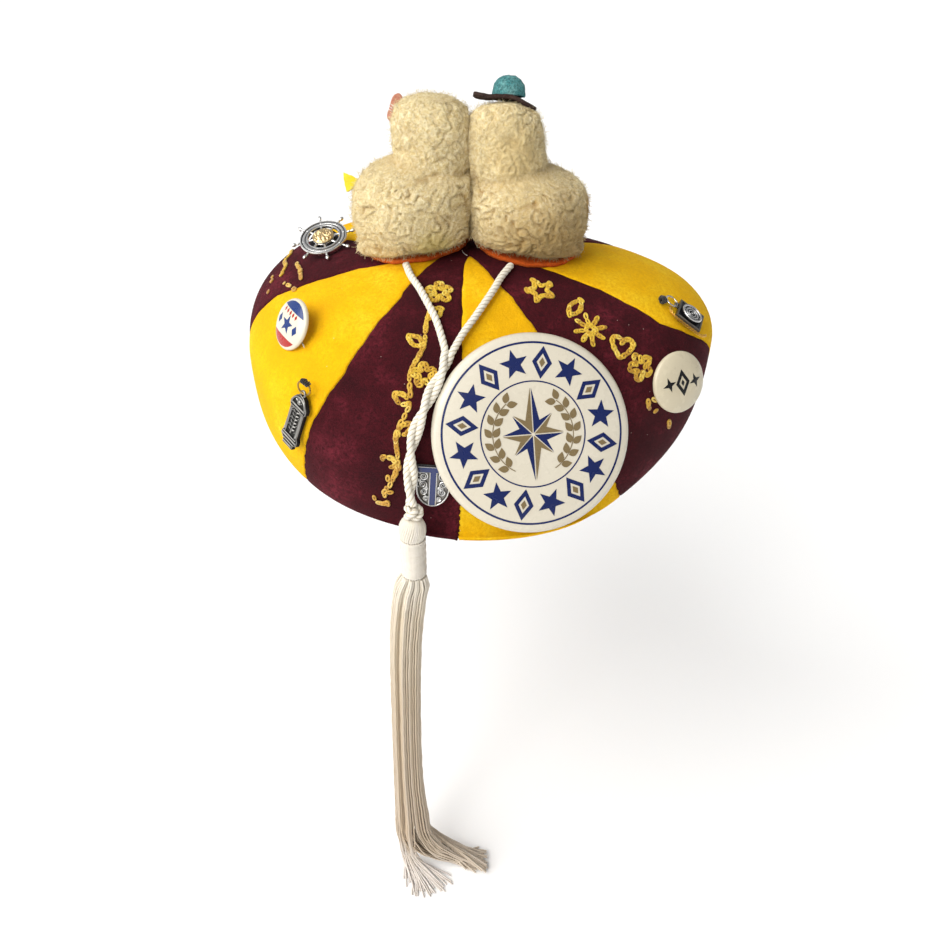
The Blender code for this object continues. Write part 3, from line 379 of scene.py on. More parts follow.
# %% Felt materials
def felt_material(name, base, deep, light, lint=None, finer=1.0):
    made, tree, shader, at = start_material(name, base, 0.93, Sheen_Weight=0.14, Sheen_Roughness=0.55,
                                            Specular_IOR_Level=0.18)
    shader.inputs["Sheen Tint"].default_value = colour(light)
    cloud = add(tree, "noise", at, 38, 4, 0.6)
    nap = add(tree, "noise", at, 620 * finer, 5, 0.74, 0.6)
    fibre = add(tree, "noise", at, 2400, 3, 0.7, 1.2)
    skin = add(tree, "ramp", cloud, stops=((0.32, deep), (0.50, base), (0.68, light)))
    worn = add(tree, "mix", add(tree, "ramp", nap, stops=((0.36, "#FFFFFF"), (0.60, "#000000"))),
               skin, colour(deep))
    face = add(tree, "mix", add(tree, "MULTIPLY",
                                add(tree, "ramp", fibre, stops=((0.45, "#000000"), (0.70, "#FFFFFF"))),
                                0.42), worn, colour(light))
    if lint:
        fleck = add(tree, "ShaderNodeTexVoronoi", {"Vector": at, "Scale": 210.0, "Randomness": 1.0},
                    out=None)
        near = add(tree, "LESS_THAN", fleck.outputs["Distance"], 0.055)
        rare = add(tree, "GREATER_THAN", add(tree, "noise", at, 90, 1), 0.56)
        face = add(tree, "mix", add(tree, "MULTIPLY", add(tree, "MULTIPLY", near, rare), 0.55),
                   face, colour(lint))
    height = add(tree, "ADD", add(tree, "MULTIPLY", nap, 0.6), add(tree, "MULTIPLY", fibre, 0.5))
    surface(tree, shader, face, height, 0.75 * MM, 0.9)
    return made


# Maroon wool felt: fulled wool, dyed before fulling, so light and dark fibres mix; it has picked up lint.
maroon_wool_felt = felt_material("maroon_wool_felt", "#420A13", "#27050A", "#6A1E2B", "#C9A9A0")
# Gold wool felt: the same stuff in a strong school gold, a little greyed where it was handled.
gold_wool_felt = felt_material("gold_wool_felt", "#F9BE00", "#E8A900", "#FFD426", "#FFF0C0")
print("felt materials:", maroon_wool_felt.name, gold_wool_felt.name)

# %% [markdown]
# ## The gores
# Each gore is a grid over its share of the crown, thickened to 2 mm by Solidify. Where two gores meet,
# the edge wanders by a fraction of a millimetre, as hand-cut felt does, and sinks a little into the seam.
# The felt between is not perfectly smooth either: soft dents a few centimetres wide cross it.

# %% Build the gores
SEAM_GAP = -0.08 * MM   # below zero: neighbours overlap a little, so no light comes through
SEAM_SINK, SEAM_EDGE, STRAY, DENT, DENT_SIZE = 0.5 * MM, 0.9 * MM, 0.42 * MM, 0.42 * MM, 21 * MM
FELT_THICKNESS = 2 * MM


def wander(index, t):
    """How far a hand-cut seam strays sideways, in metres."""
    index = index % 8
    slow, quick = np.sin(41 * t + 1.7 * index), np.sin(97 * t + 2.9 * index)
    return STRAY * (slow * 0.6 + quick * 0.4) * np.clip(t * 4, 0, 1)


def dents(points):
    """Soft unevenness of the felt, about half a millimetre deep."""
    x, y, z = (points / DENT_SIZE).T
    return DENT * (np.sin(x * 1.0 + 1.3 * np.sin(y * 0.7)) * np.cos(z * 1.1 + 0.6 * x)
                        + 0.5 * np.sin(y * 1.9 + z * 1.3 + 0.5) * np.cos(x * 1.7 - 0.8 * z))


def tip_share(t):
    reach = (TIP_END - t) / (TIP_END - TIP_START)
    return 0.0 if reach <= 0 else 1.0 - (1.0 - min(reach, 1.0) ** 2) ** 0.5


def gore_mesh(index, columns=40):
    name = SEAMS[index][0]
    gold = name.endswith("gold")
    rows = []
    for t in np.concatenate([np.linspace(0.004, 0.2, 26), np.linspace(0.2, 2.0, 78)[1:]]):
        taken = tip_share(t)
        if gold and taken > 0.8:
            continue
        seams = list(seam_azimuths(t)) + [seam_azimuths(t)[0] + 360]
        low, high = seams[index], seams[index + 1]
        middle = (low + high) / 2
        if gold:
            low, high = low + (middle - low) * taken, high - (high - middle) * taken
        else:
            before = seams[index - 1] if index else seams[7] - 360
            after = seams[(index + 2) % 8] + (360 if index > 6 else 0)
            low, high = low - (low - before) / 2 * taken, high + (after - high) / 2 * taken
        radius = np.linalg.norm(smooth_felt(middle, t)[:2])
        low += degrees((SEAM_GAP / 2 + wander(index, t)) / radius)
        high -= degrees((SEAM_GAP / 2 - wander(index + 1, t)) / radius)
        even = np.linspace(0, 1, columns + 1)
        share = (1 - np.cos(pi * even)) / 2 * 0.35 + even * 0.65   # closer together at the seams
        across = low + (high - low) * share
        edge = np.minimum(share, 1 - share) * radians(high - low) * radius
        sunk = -SEAM_SINK * np.exp(-(edge / SEAM_EDGE) ** 2)
        flat = felt(across, np.full(across.shape, t))
        rows.append(felt(across, np.full(across.shape, t), sunk + dents(flat) * np.clip(2.2 - t, 0, 1)))
    faces = [(a, d, c, b) for a, b, c, d in grid_faces(len(rows), columns + 1)]
    return mesh_of(name, np.concatenate(rows), faces)


def thickened(name, mesh, thickness, offset=-1.0):
    """The mesh of a sheet given its wall by Solidify."""
    holder = bpy.data.objects.new(name, mesh)
    bpy.context.scene.collection.objects.link(holder)
    wall = holder.modifiers.new("wall", "SOLIDIFY")
    wall.thickness, wall.offset = thickness, offset
    graph = bpy.context.evaluated_depsgraph_get()
    made = bpy.data.meshes.new_from_object(holder.evaluated_get(graph), depsgraph=graph)
    bpy.data.objects.remove(holder, do_unlink=True)
    return made


for index, row in enumerate(SEAMS):
    gold = row[0].endswith("gold")
    mesh = thickened(row[0] + "_cloth", gore_mesh(index), FELT_THICKNESS)
    piece(row[0] + "_cloth", mesh, gold_wool_felt if gold else maroon_wool_felt,
          "gold_felt" if gold else "maroon_felt", row[0])
    print(row[0], len(mesh.polygons), "faces")

# %% [markdown]
# ## The cord
# Two strands of soft ivory cord come out from under the chicks, meet in front and are twisted round each
# other down to the tassel. Each strand is laid rope: three plies turned together, with a slanting line
# where two plies meet. The CAD part's route gives the way, in azimuth and t. A tube with a three-lobed
# section that turns along the way makes the plies, and a UV map follows them for the yarn's fine lines.


# %% Cord route
CORD_DIAMETER, FIT_GAP, TWIST_PITCH, PLY_LAY = 3.4 * MM, 0.4 * MM, 38 * MM, 7.6 * MM
LEFT_STRAND = ((-53, 0.208), (-42, 0.235), (-30, 0.275), (-20, 0.335), (-14, 0.39), (-10.5, 0.445))
RIGHT_STRAND = ((45, 0.195), (38, 0.21), (29, 0.24), (14.5, 0.31), (5, 0.375), (-1.5, 0.435))
TWISTED_PAIR = (   # azimuth, t, clear of the felt in mm
    (-7.0, 0.50, 0.0), (-8.4, 0.56, 0.0), (-10.8, 0.62, 0.0), (-12.6, 0.68, 0.0), (-14.1, 0.74, 0.0),
    (-15.0, 0.80, 0.2), (-15.3, 0.86, 0.8), (-15.0, 0.91, 2.0), (-15.0, 0.95, 3.4))
low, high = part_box("tassel_head")
TASSEL_TOP = Vector(((low[0] + high[0]) / 2, (low[1] + high[1]) / 2, high[2]))


def run_along(points):
    return np.concatenate([[0], np.cumsum(np.linalg.norm(np.diff(points, axis=0), axis=1))])


def smooth_curve(rows, spacing, place=lambda row: row):
    """Rows along a Catmull-Rom curve, evenly spaced once each row is placed in space."""
    rows = [np.array(row, float) for row in rows]
    ends = [2 * rows[0] - rows[1]] + rows + [2 * rows[-1] - rows[-2]]
    fine = []
    for a, b, c, d in zip(ends[:-3], ends[1:-2], ends[2:-1], ends[3:]):
        for s in np.arange(0, 1, 0.05):
            fine.append(0.5 * (2 * b + (c - a) * s + (2 * a - 5 * b + 4 * c - d) * s ** 2
                               + (3 * b - a - 3 * c + d) * s ** 3))
    fine = np.array(fine + [rows[-1]])
    run = run_along(np.array([place(row) for row in fine]))
    stops = np.linspace(0, run[-1], max(2, round(run[-1] / spacing) + 1))
    return np.stack([np.interp(stops, run, fine[:, k]) for k in range(fine.shape[1])], -1)


def on_felt(row):
    return felt(row[0], row[1], row[2])


def strand_route(strand, start):
    """The way of one strand: alone over the felt, then winding round the pair's middle line."""
    alone, helix = CORD_DIAMETER / 2 + FIT_GAP, CORD_DIAMETER * 0.45
    together = helix + CORD_DIAMETER / 2 + FIT_GAP
    lifts = [alone + 0.4 * MM] * (len(strand) - 1) + [(alone + together) / 2]
    points = [on_felt(row) for row in
              smooth_curve([(*row, lift) for row, lift in zip(strand, lifts)], 9 * MM, on_felt)]
    rows = smooth_curve([(az, t, together + clear * MM) for az, t, clear in TWISTED_PAIR],
                        TWIST_PITCH / 20, on_felt)
    centre = np.array([on_felt(row) for row in rows] + [TASSEL_TOP + Vector((0, 0.3 * MM, 6.5 * MM))])
    normals = np.array([felt_normal(row[0], row[1]) for row in rows] + [(0, -1, 0)])
    for at, out, way, s in zip(centre, normals, np.gradient(centre, axis=0), run_along(centre)):
        way = unit(way)
        side = unit(np.cross(out, way))
        turn = start + 2 * pi * s / TWIST_PITCH
        points.append(at + helix * (sin(turn) * side + cos(turn) * np.cross(way, side)))
    return smooth_curve(points, 0.6 * MM)


left_route = strand_route(LEFT_STRAND, -pi / 2)
right_route = strand_route(RIGHT_STRAND, pi / 2)
for name, route in (("left", left_route), ("right", right_route)):
    print(name, "strand:", round(run_along(route)[-1] / MM), "mm long,", len(route), "points")


# %% Laid rope
def carried_frames(path):
    """A side and an up direction for each point of a path, carried along it without twisting."""
    ways = unit(np.gradient(path, axis=0))
    side = np.cross(ways[0], (0.3, 0.2, 0.93))   # any direction that the path doesn't start along
    sides = []
    for way in ways:
        side = unit(side - way * (side @ way))
        sides.append(side)
    sides = np.array(sides)
    return sides, np.cross(ways, sides)


def laid_rope(name, path, diameter, lay, plies=3, around=24):
    """A tube whose round plies turn once in lay metres; its UV map runs along and across the plies."""
    path = np.asarray(path, float)
    sides, ups = carried_frames(path)
    run = run_along(path)
    points, faces, uvs = [], [], []
    for at, side, up, s in zip(path, sides, ups, run):
        for j in range(around):
            a = 2 * pi * j / around
            ply = abs(cos(plies / 2 * (a - 2 * pi * s / lay))) ** 0.75
            radius = diameter / 2 * (0.80 + 0.20 * ply)
            points.append(at + radius * (cos(a) * side + sin(a) * up))
    for i in range(len(path) - 1):
        for j in range(around):
            k = (j + 1) % around
            faces.append((i * around + j, i * around + k, (i + 1) * around + k, (i + 1) * around + j))
            uvs += [(run[i + di] / MM, plies * ((j + dj) / around - run[i + di] / lay))
                    for di, dj in ((0, 0), (0, 1), (1, 1), (1, 0))]
    for i, ring in ((0, range(around - 1, -1, -1)), (len(path) - 1, range(around))):
        points.append(path[i])
        loop = [i * around + j for j in ring]
        faces += [(loop[j], loop[(j + 1) % around], len(points) - 1) for j in range(around)]
        uvs += [(run[i] / MM, 0.5)] * (3 * around)
    mesh = mesh_of(name, points, faces)
    mesh.uv_layers.new(name="lay").data.foreach_set("uv", np.array(uvs, np.float32).ravel())
    return mesh


# Soft laid cotton cord: pale yarns with a dull gloss, and painted shade in the slanting lines between its
# plies.
cotton_cord, tree, shader, at = start_material("laid_cotton_cord", "#F0EADC", 0.72, Sheen_Weight=0.15,
                                               Specular_IOR_Level=0.3)
lay = add(tree, "ShaderNodeUVMap", uv_map="lay")
apart = add(tree, "ShaderNodeSeparateXYZ", lay, out=None)
ply_valley_shade = add(tree, "ABSOLUTE", add(tree, "SUBTRACT",
                                   add(tree, "FRACT", add(tree, "ADD", apart.outputs[1], 0.5)), 0.5))
yarn_at = add(tree, "ShaderNodeMapping", {0: lay, "Scale": (0.35, 7.0, 1.0)})
yarn = add(tree, "noise", yarn_at, 1.0, 3, 0.6)
# painted shade: the cord is darkened along the lines where two plies meet
skin = add(tree, "ramp", ply_valley_shade, stops=((0.0, "#F3EEE2"), (0.34, "#EAE3D2"), (0.5, "#A99A80")))
skin = add(tree, "mix", add(tree, "MULTIPLY", yarn, 0.30), skin, colour("#CFC4AE"))
surface(tree, shader, skin, yarn, 0.25 * MM, 0.7)

cord_pieces = []
for name, node, route in (("laid_cord_left", "cord_left", left_route),
                          ("laid_cord_right", "cord_right", right_route)):
    cord_pieces.append(piece(name, laid_rope(name, route, CORD_DIAMETER, PLY_LAY),
                             cotton_cord, "ivory_cord", node))
print("cord triangles:", sum(len(p.data.polygons) * 2 for p in cord_pieces))

# %% Knot over the tassel
# The two strands end in one tight knot. A trefoil is the simplest closed knot, so it makes the lump.
turns = np.linspace(0, 2 * pi, 150)
knot_way = np.stack([(2 + np.cos(3 * turns)) * np.cos(2 * turns),
                     (2 + np.cos(3 * turns)) * np.sin(2 * turns), np.sin(3 * turns) * 1.5], -1) * 1.15 * MM
knot_way += np.array(TASSEL_TOP + Vector((0.6 * MM, 0, 3.0 * MM)))
tassel_knot = piece("tassel_knot", laid_rope("tassel_knot", knot_way, 2.9 * MM, 6 * MM), cotton_cord,
                    "ivory_cord", "cord_knot")
print("knot:", len(tassel_knot.data.polygons), "faces")

# %% [markdown]
# ## The tassel
# A tassel is a bundle of rayon threads folded over the cord, bound round its neck and cut to length. Each
# thread is a line in a plain mesh, and one Geometry Nodes tree turns every line into a fine tube with a
# little crimp. The same tree makes the head's threads and the binding, with other sizes. The CAD skirt's
# sections say how the bundle runs, and its end lies on the floor and has swung to the right.


# %% Threads from lines
def new_tree(name, **sizes):
    """An empty Geometry Nodes tree with named inputs; its input and output nodes come with it."""
    tree = bpy.data.node_groups.new(name, "GeometryNodeTree")
    face = tree.interface
    face.new_socket("Geometry", in_out="INPUT", socket_type="NodeSocketGeometry")
    for label, value in sizes.items():
        kind = "NodeSocketInt" if isinstance(value, int) else "NodeSocketFloat"
        face.new_socket(label.replace("_", " "), in_out="INPUT", socket_type=kind).default_value = value
    face.new_socket("Geometry", in_out="OUTPUT", socket_type="NodeSocketGeometry")
    given, result = add(tree, "NodeGroupInput", out=None), add(tree, "NodeGroupOutput", out=None)
    return tree, given.outputs, result.inputs[0]


def grown(name, source, tree, material, **sizes):
    """The plain mesh that a tree grows on a source mesh, with its inputs set by their identifiers."""
    holder = bpy.data.objects.new(name + "_source", source)
    bpy.context.scene.collection.objects.link(holder)
    modifier = holder.modifiers.new(tree.name, "NODES")
    modifier.node_group = tree
    for item in tree.interface.items_tree:
        key = item.name.replace(" ", "_")
        if item.in_out == "INPUT" and key in sizes:
            modifier[item.identifier] = sizes[key]
    tree.nodes["finish"].inputs["Material"].default_value = material
    graph = bpy.context.evaluated_depsgraph_get()
    mesh = bpy.data.meshes.new_from_object(holder.evaluated_get(graph), depsgraph=graph)
    mesh.name = name
    bpy.data.objects.remove(holder, do_unlink=True)
    return smoothed(mesh)


def finish_tree(tree, geometry, result):
    real = add(tree, "GeometryNodeRealizeInstances", geometry)
    last = add(tree, "GeometryNodeSetMaterial", {"Geometry": real}, name="finish")
    tree.links.new(last, result)


thread_tree, given, result = new_tree("threads_from_lines", Thread_radius=0.5 * MM,
                                      Step=3 * MM, Crimp=0.3 * MM, Crimps_per_metre=160.0, Sides=5)
tree = thread_tree
line = add(tree, "GeometryNodeMeshToCurve", given["Geometry"])
even = add(tree, "GeometryNodeResampleCurve", {"Curve": line, "Length": given["Step"]},
           out=None, mode="LENGTH")
wave = add(tree, "ShaderNodeTexNoise", {"Vector": add(tree, "GeometryNodeInputPosition"),
                                        "Scale": given["Crimps per metre"], "Detail": 1.0}, out=1)
centred = add(tree, "ShaderNodeVectorMath", wave, (0.5, 0.5, 0.5), operation="SUBTRACT")
scaled = add(tree, "ShaderNodeVectorMath", {0: centred, "Scale": given["Crimp"]}, operation="SCALE")
moved = add(tree, "GeometryNodeSetPosition", {"Geometry": even.outputs[0], "Offset": scaled})
section = add(tree, "GeometryNodeCurvePrimitiveCircle",
              {"Resolution": given["Sides"], "Radius": given["Thread radius"]})
tubes = add(tree, "GeometryNodeCurveToMesh", {"Curve": moved, "Profile Curve": section, "Fill Caps": True},
            out=None)
finish_tree(tree, tubes.outputs[0], result)


def lines_mesh(name, ways, **values):
    """Lines in one mesh, with a value for each line's every point in each named attribute."""
    mesh = bpy.data.meshes.new(name)
    starts = np.cumsum([0] + [len(way) for way in ways])
    edges = [(first + i, first + i + 1) for first, way in zip(starts, ways) for i in range(len(way) - 1)]
    mesh.from_pydata([tuple(p) for way in ways for p in way], edges, [])
    for key, rows in values.items():
        layer = mesh.attributes.new(key, "FLOAT", "POINT")
        layer.data.foreach_set("value", np.concatenate(rows).astype(np.float32))
    return mesh


print("thread tree:", len(thread_tree.nodes), "nodes")

# %% Tassel material
# Rayon floss: smooth shiny filaments, cream where they were wrapped, greyed to taupe where they hung in
# dust, and pale again at the cut tips. The attributes along and pale come with each thread.
rayon_floss, tree, shader, at = start_material("rayon_floss", "#C3B093", 0.48, Sheen_Weight=0.2,
                                               Anisotropic=0.4, Specular_IOR_Level=0.4)
along = add(tree, "ShaderNodeAttribute", out="Fac", attribute_name="along")
pale = add(tree, "ShaderNodeAttribute", out="Fac", attribute_name="pale")
skin = add(tree, "ramp", along, stops=((0.0, "#EDE6D6"), (0.10, "#DACBB0"),
                                       (0.35, "#C6B294"), (0.80, "#BBA588"), (1.0, "#C9B9A2")))
skin = add(tree, "mix", pale, skin, colour("#E4DEDA"))
# painted shade: dark streaks down the threads stand for the shade between them; the same noise gives their
# bump
shade_streak = add(tree, "noise", add(tree, "ShaderNodeMapping", {0: at, "Scale": (900, 900, 60)}), 1.0, 2)
skin = add(tree, "mix", add(tree, "MULTIPLY", shade_streak, 0.35), skin, colour("#8F7B60"))
surface(tree, shader, skin, shade_streak, 0.15 * MM, 0.6)

# %% Skirt threads
SKIRT_LENGTH, WRAP_LENGTH, HEAD_LENGTH = 223 * MM, 22 * MM, 10.5 * MM
# Down to where the skirt nears the floor: drop, aside, ahead, half width and half depth, as shares of it.
SKIRT_SECTIONS = np.array([(0.000, 0.000, 0.000, 0.026, 0.026), (0.015, -0.002, 0.000, 0.035, 0.031),
                           (0.060, -0.012, 0.000, 0.040, 0.033), (0.200, -0.026, 0.000, 0.039, 0.033),
                           (0.430, -0.034, 0.000, 0.038, 0.032), (0.650, -0.037, 0.000, 0.040, 0.033),
                           (0.800, -0.034, 0.000, 0.048, 0.034)]) * SKIRT_LENGTH
THREADS, THREAD_RADIUS = 200, 0.52 * MM
rng = np.random.default_rng(7)
skirt_top = TASSEL_TOP.z - HEAD_LENGTH - WRAP_LENGTH - 0.8 * MM
locks = [(0.72 * cos(a), 0.72 * sin(a)) for a in np.arange(11) * 2 * pi / 11] + [(0.25, 0), (-0.25, 0.1)]
ways, alongs, pales = [], [], []
for number in range(THREADS):
    lock = number % len(locks)
    u, v = np.array(locks[lock]) + rng.normal(0, 0.15, 2)
    u, v = np.array((u, v)) / max(1, hypot(u, v) / 0.98)
    forward = lock in (3, 4, 5, 6, 7) and rng.random() < 0.62   # locks on the left whose ends lie forward
    way = []
    for drop, aside, ahead, wide, deep in SKIRT_SECTIONS:
        gather = 0.0 if drop < 0.02 * SKIRT_LENGTH else 0.30
        x, y = u + (locks[lock][0] - u) * gather, v + (locks[lock][1] - v) * gather
        way.append((TASSEL_TOP.x + aside + x * wide, TASSEL_TOP.y - ahead - y * deep, skirt_top - drop))
    bottom = FLOOR_LEVEL + THREAD_RADIUS + 0.1 * MM
    heap = (1 - v) * 2.6 * MM + rng.uniform(0, 1.2 * MM)
    last = np.array(way[-1])
    if forward:
        fan = rng.uniform(-1, 1)
        tip = np.array((TASSEL_TOP.x + 1 * MM + fan * 15 * MM,
                        TASSEL_TOP.y - rng.uniform(13, 26) * MM * (1 - 0.3 * fan ** 2), bottom))
        way += [last + (0, -1 * MM, -13 * MM),
                (last[0] * 0.8 + tip[0] * 0.2, TASSEL_TOP.y - 4 * MM, bottom + 9 * MM + heap * 0.4),
                (last[0] * 0.45 + tip[0] * 0.55, TASSEL_TOP.y * 0.5 + tip[1] * 0.5,
                 bottom + 2.2 * MM + heap * 0.3), tip]
    else:
        reach = rng.uniform(22, 36) * MM
        tip = np.array((TASSEL_TOP.x + reach, TASSEL_TOP.y + rng.uniform(-8, 6) * MM + v * 3 * MM,
                        bottom + heap * 0.5))
        way += [last + (1.5 * MM, 0, -14 * MM),
                (last[0] * 0.72 + tip[0] * 0.28, last[1], bottom + 9 * MM + heap + (u + 1) * 3 * MM),
                (last[0] * 0.35 + tip[0] * 0.65, (last[1] + tip[1]) / 2,
                 bottom + 3.0 * MM + heap + (u + 1) * 1.2 * MM), tip]
    way = smooth_curve(way, 5 * MM)
    way[:, 2] = np.maximum(way[:, 2], bottom)
    share = run_along(way) / run_along(way)[-1]
    ways.append(way)
    alongs.append(share)
    pales.append(np.clip((share - 0.84) / 0.1, 0, 1) * (0.75 if forward else 0.15) + rng.uniform(0, 0.22))
skirt_mesh = grown("tassel_threads", lines_mesh("skirt_lines", ways, along=alongs, pale=pales),
                   thread_tree, rayon_floss, Thread_radius=THREAD_RADIUS,
                   Step=2.6 * MM, Crimp=0.7 * MM, Crimps_per_metre=190.0, Sides=5)
piece("tassel_threads", skirt_mesh, None, "tassel_silk", "tassel_skirt")
print("skirt:", THREADS, "threads,", len(skirt_mesh.polygons), "faces, longest",
      round(max(run_along(way)[-1] for way in ways) / MM), "mm")

# %% Head and binding
HEAD_SHAPE = ((0.03, 0), (0.42, -0.02), (0.74, -0.14), (0.94, -0.36), (1, -0.61), (0.95, -0.84), (0.87, -1))
head_radius = 6.2 * MM
ways = []
for number in range(34):
    a = 2 * pi * number / 34 + rng.normal(0, 0.02)
    ways.append(smooth_curve([(TASSEL_TOP.x + r * head_radius * 0.93 * cos(a + 0.5 * z),
                               TASSEL_TOP.y + r * head_radius * 0.93 * sin(a + 0.5 * z), TASSEL_TOP.z
                               - 0.5 * MM + z * HEAD_LENGTH * 0.96) for r, z in HEAD_SHAPE], 1.2 * MM))
same = [np.zeros(len(way)) for way in ways]
head_mesh = grown("tassel_head_threads",
                  lines_mesh("head_lines", ways, along=same, pale=[w + rng.uniform(0, 0.5) for w in same]),
                  thread_tree, rayon_floss, Thread_radius=0.62 * MM, Step=1.0 * MM,
                  Crimp=0.3 * MM, Crimps_per_metre=300.0, Sides=6)
tassel_head = piece("tassel_head_threads", head_mesh, None, "ivory_cord", "tassel_head")

turns = np.linspace(0, 1, 1500)
rise = TASSEL_TOP.z - HEAD_LENGTH - 0.8 * MM - turns * (WRAP_LENGTH - 1.6 * MM)
a = 2 * pi * 25 * turns
swell = 5.45 * MM + 0.12 * MM * np.sin(31 * turns)
winding = np.stack([TASSEL_TOP.x + swell * np.cos(a), TASSEL_TOP.y + swell * np.sin(a), rise], -1)
under = [[(TASSEL_TOP.x + 4.9 * MM * cos(b), TASSEL_TOP.y + 4.9 * MM * sin(b), z)
          for z in np.linspace(rise[0] + 1 * MM, rise[-1] - 1 * MM, 9)]
         for b in np.arange(26) * 2 * pi / 26]
ways = [winding] + [np.array(way) for way in under]
wrap_mesh = grown("tassel_binding",
                  lines_mesh("binding_lines", ways, along=[np.zeros(len(w)) for w in ways],
                             pale=[np.full(len(w), 0.35) for w in ways]), thread_tree, rayon_floss,
                  Thread_radius=0.50 * MM, Step=0.9 * MM, Crimp=0.22 * MM, Crimps_per_metre=420.0, Sides=6)
tassel_binding = piece("tassel_binding", wrap_mesh, None, "ivory_cord", "tassel_wrap")
print("head and binding:", len(head_mesh.polygons), len(wrap_mesh.polygons), "faces")

# %% The strands' ends and lengths
# Each strand hangs over the felt and ends in the knot. Its first point, its length and every fourth point of
# its route are worked out here and not kept.
for strand, route in zip(cord_pieces, (left_route, right_route)):
    tuple(route[0])
    float(run_along(route)[-1])
    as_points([tuple(p) for p in route[::4]] + [tuple(route[-1])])

# %% [markdown]
# ## The plush chicks
# The chicks are stuffed with wadding and covered in cream wool plush. Its pile has felted into a soft
# fleece: curls two millimetres wide that swirl over the body, with winding creases between them. The
# body is a loft through the CAD part's sections, with the curls and the creases moved into its points by
# warped noise, and where the chicks press together both follow one winding surface. A tree then grows
# the fine loose hairs that blur the outline: each is a thin bent tube, laid over to the side that a slow
# noise field gives, so neighbours lie together as brushed wool does.

# %% Bodies under the pile
CHICK_SECTIONS = np.array([   # height, lean, forward, half width, half depth
    (0.00, 0.00, 0.00, 0.44, 0.44), (0.06, 0.00, 0.00, 0.66, 0.58), (0.11, 0.00, 0.00, 0.86, 0.79),
    (0.18, 0.00, 0.00, 0.97, 0.94), (0.30, 0.00, 0.00, 1.00, 1.00), (0.44, 0.05, 0.05, 0.99, 0.97),
    (0.53, 0.20, 0.20, 0.91, 0.88), (0.585, 0.50, 0.50, 0.77, 0.73), (0.62, 0.75, 0.70, 0.61, 0.58),
    (0.69, 0.90, 0.90, 0.61, 0.58), (0.77, 1.00, 1.00, 0.63, 0.60), (0.87, 1.00, 1.00, 0.60, 0.55),
    (0.94, 1.00, 1.00, 0.51, 0.46), (0.98, 1.00, 1.00, 0.37, 0.33), (1.00, 1.00, 1.00, 0.18, 0.17)])
HALF_WIDTH, HALF_DEPTH, FOOT_LEVEL = 28.5 * MM, 30 * MM, 99 * MM
PRESS_PLANE, SOLE_THICKNESS = 1.4 * MM, 2 * MM
PILE_DEPTH, TUCK_DEPTH, BRIM_RISE = 1.2 * MM, 8.5 * MM, 4.3 * MM
NECK_HEIGHT, NECK_SPREAD = 0.62, 0.028   # shares of the height
CHICKS = {   # foot x, head's lean to +X, head's set ahead to +Y, height
    "chick_left": (PRESS_PLANE - 0.961 * HALF_WIDTH, 10 * MM, 8 * MM, 72.5 * MM),
    "chick_right": (PRESS_PLANE + 1.021 * HALF_WIDTH, -11 * MM, 7 * MM, 65.2 * MM),
}
DIMPLES = ((20.9, -12, 154.5), (22.7, -24, 139))   # where the right chick's pile is pressed in, mm


def fleece(at):
    """How deep the winding creases are at a point, and how high its curls stand, both from 0 to 1."""
    warp = Vector((noise.noise(at * 75), noise.noise(at * 75 + Vector((9, 0, 0))),
                   noise.noise(at * 75 + Vector((0, 9, 0)))))
    line = noise.noise(at * 150 + warp * 1.7)
    curl = noise.noise(at * 330 + warp * 3.5 + noise.noise_vector(at * 210) * 1.6)
    return float(np.exp(-(line / 0.075) ** 2)), 1 - min(abs(curl) / 0.45, 1)


def press(y, z):
    """X of the winding surface at which the two soft bodies press on each other."""
    return PRESS_PLANE + 1.3 * MM * sin(z / (6.5 * MM)) + 0.9 * MM * sin(y / (5 * MM) + z / (11 * MM))


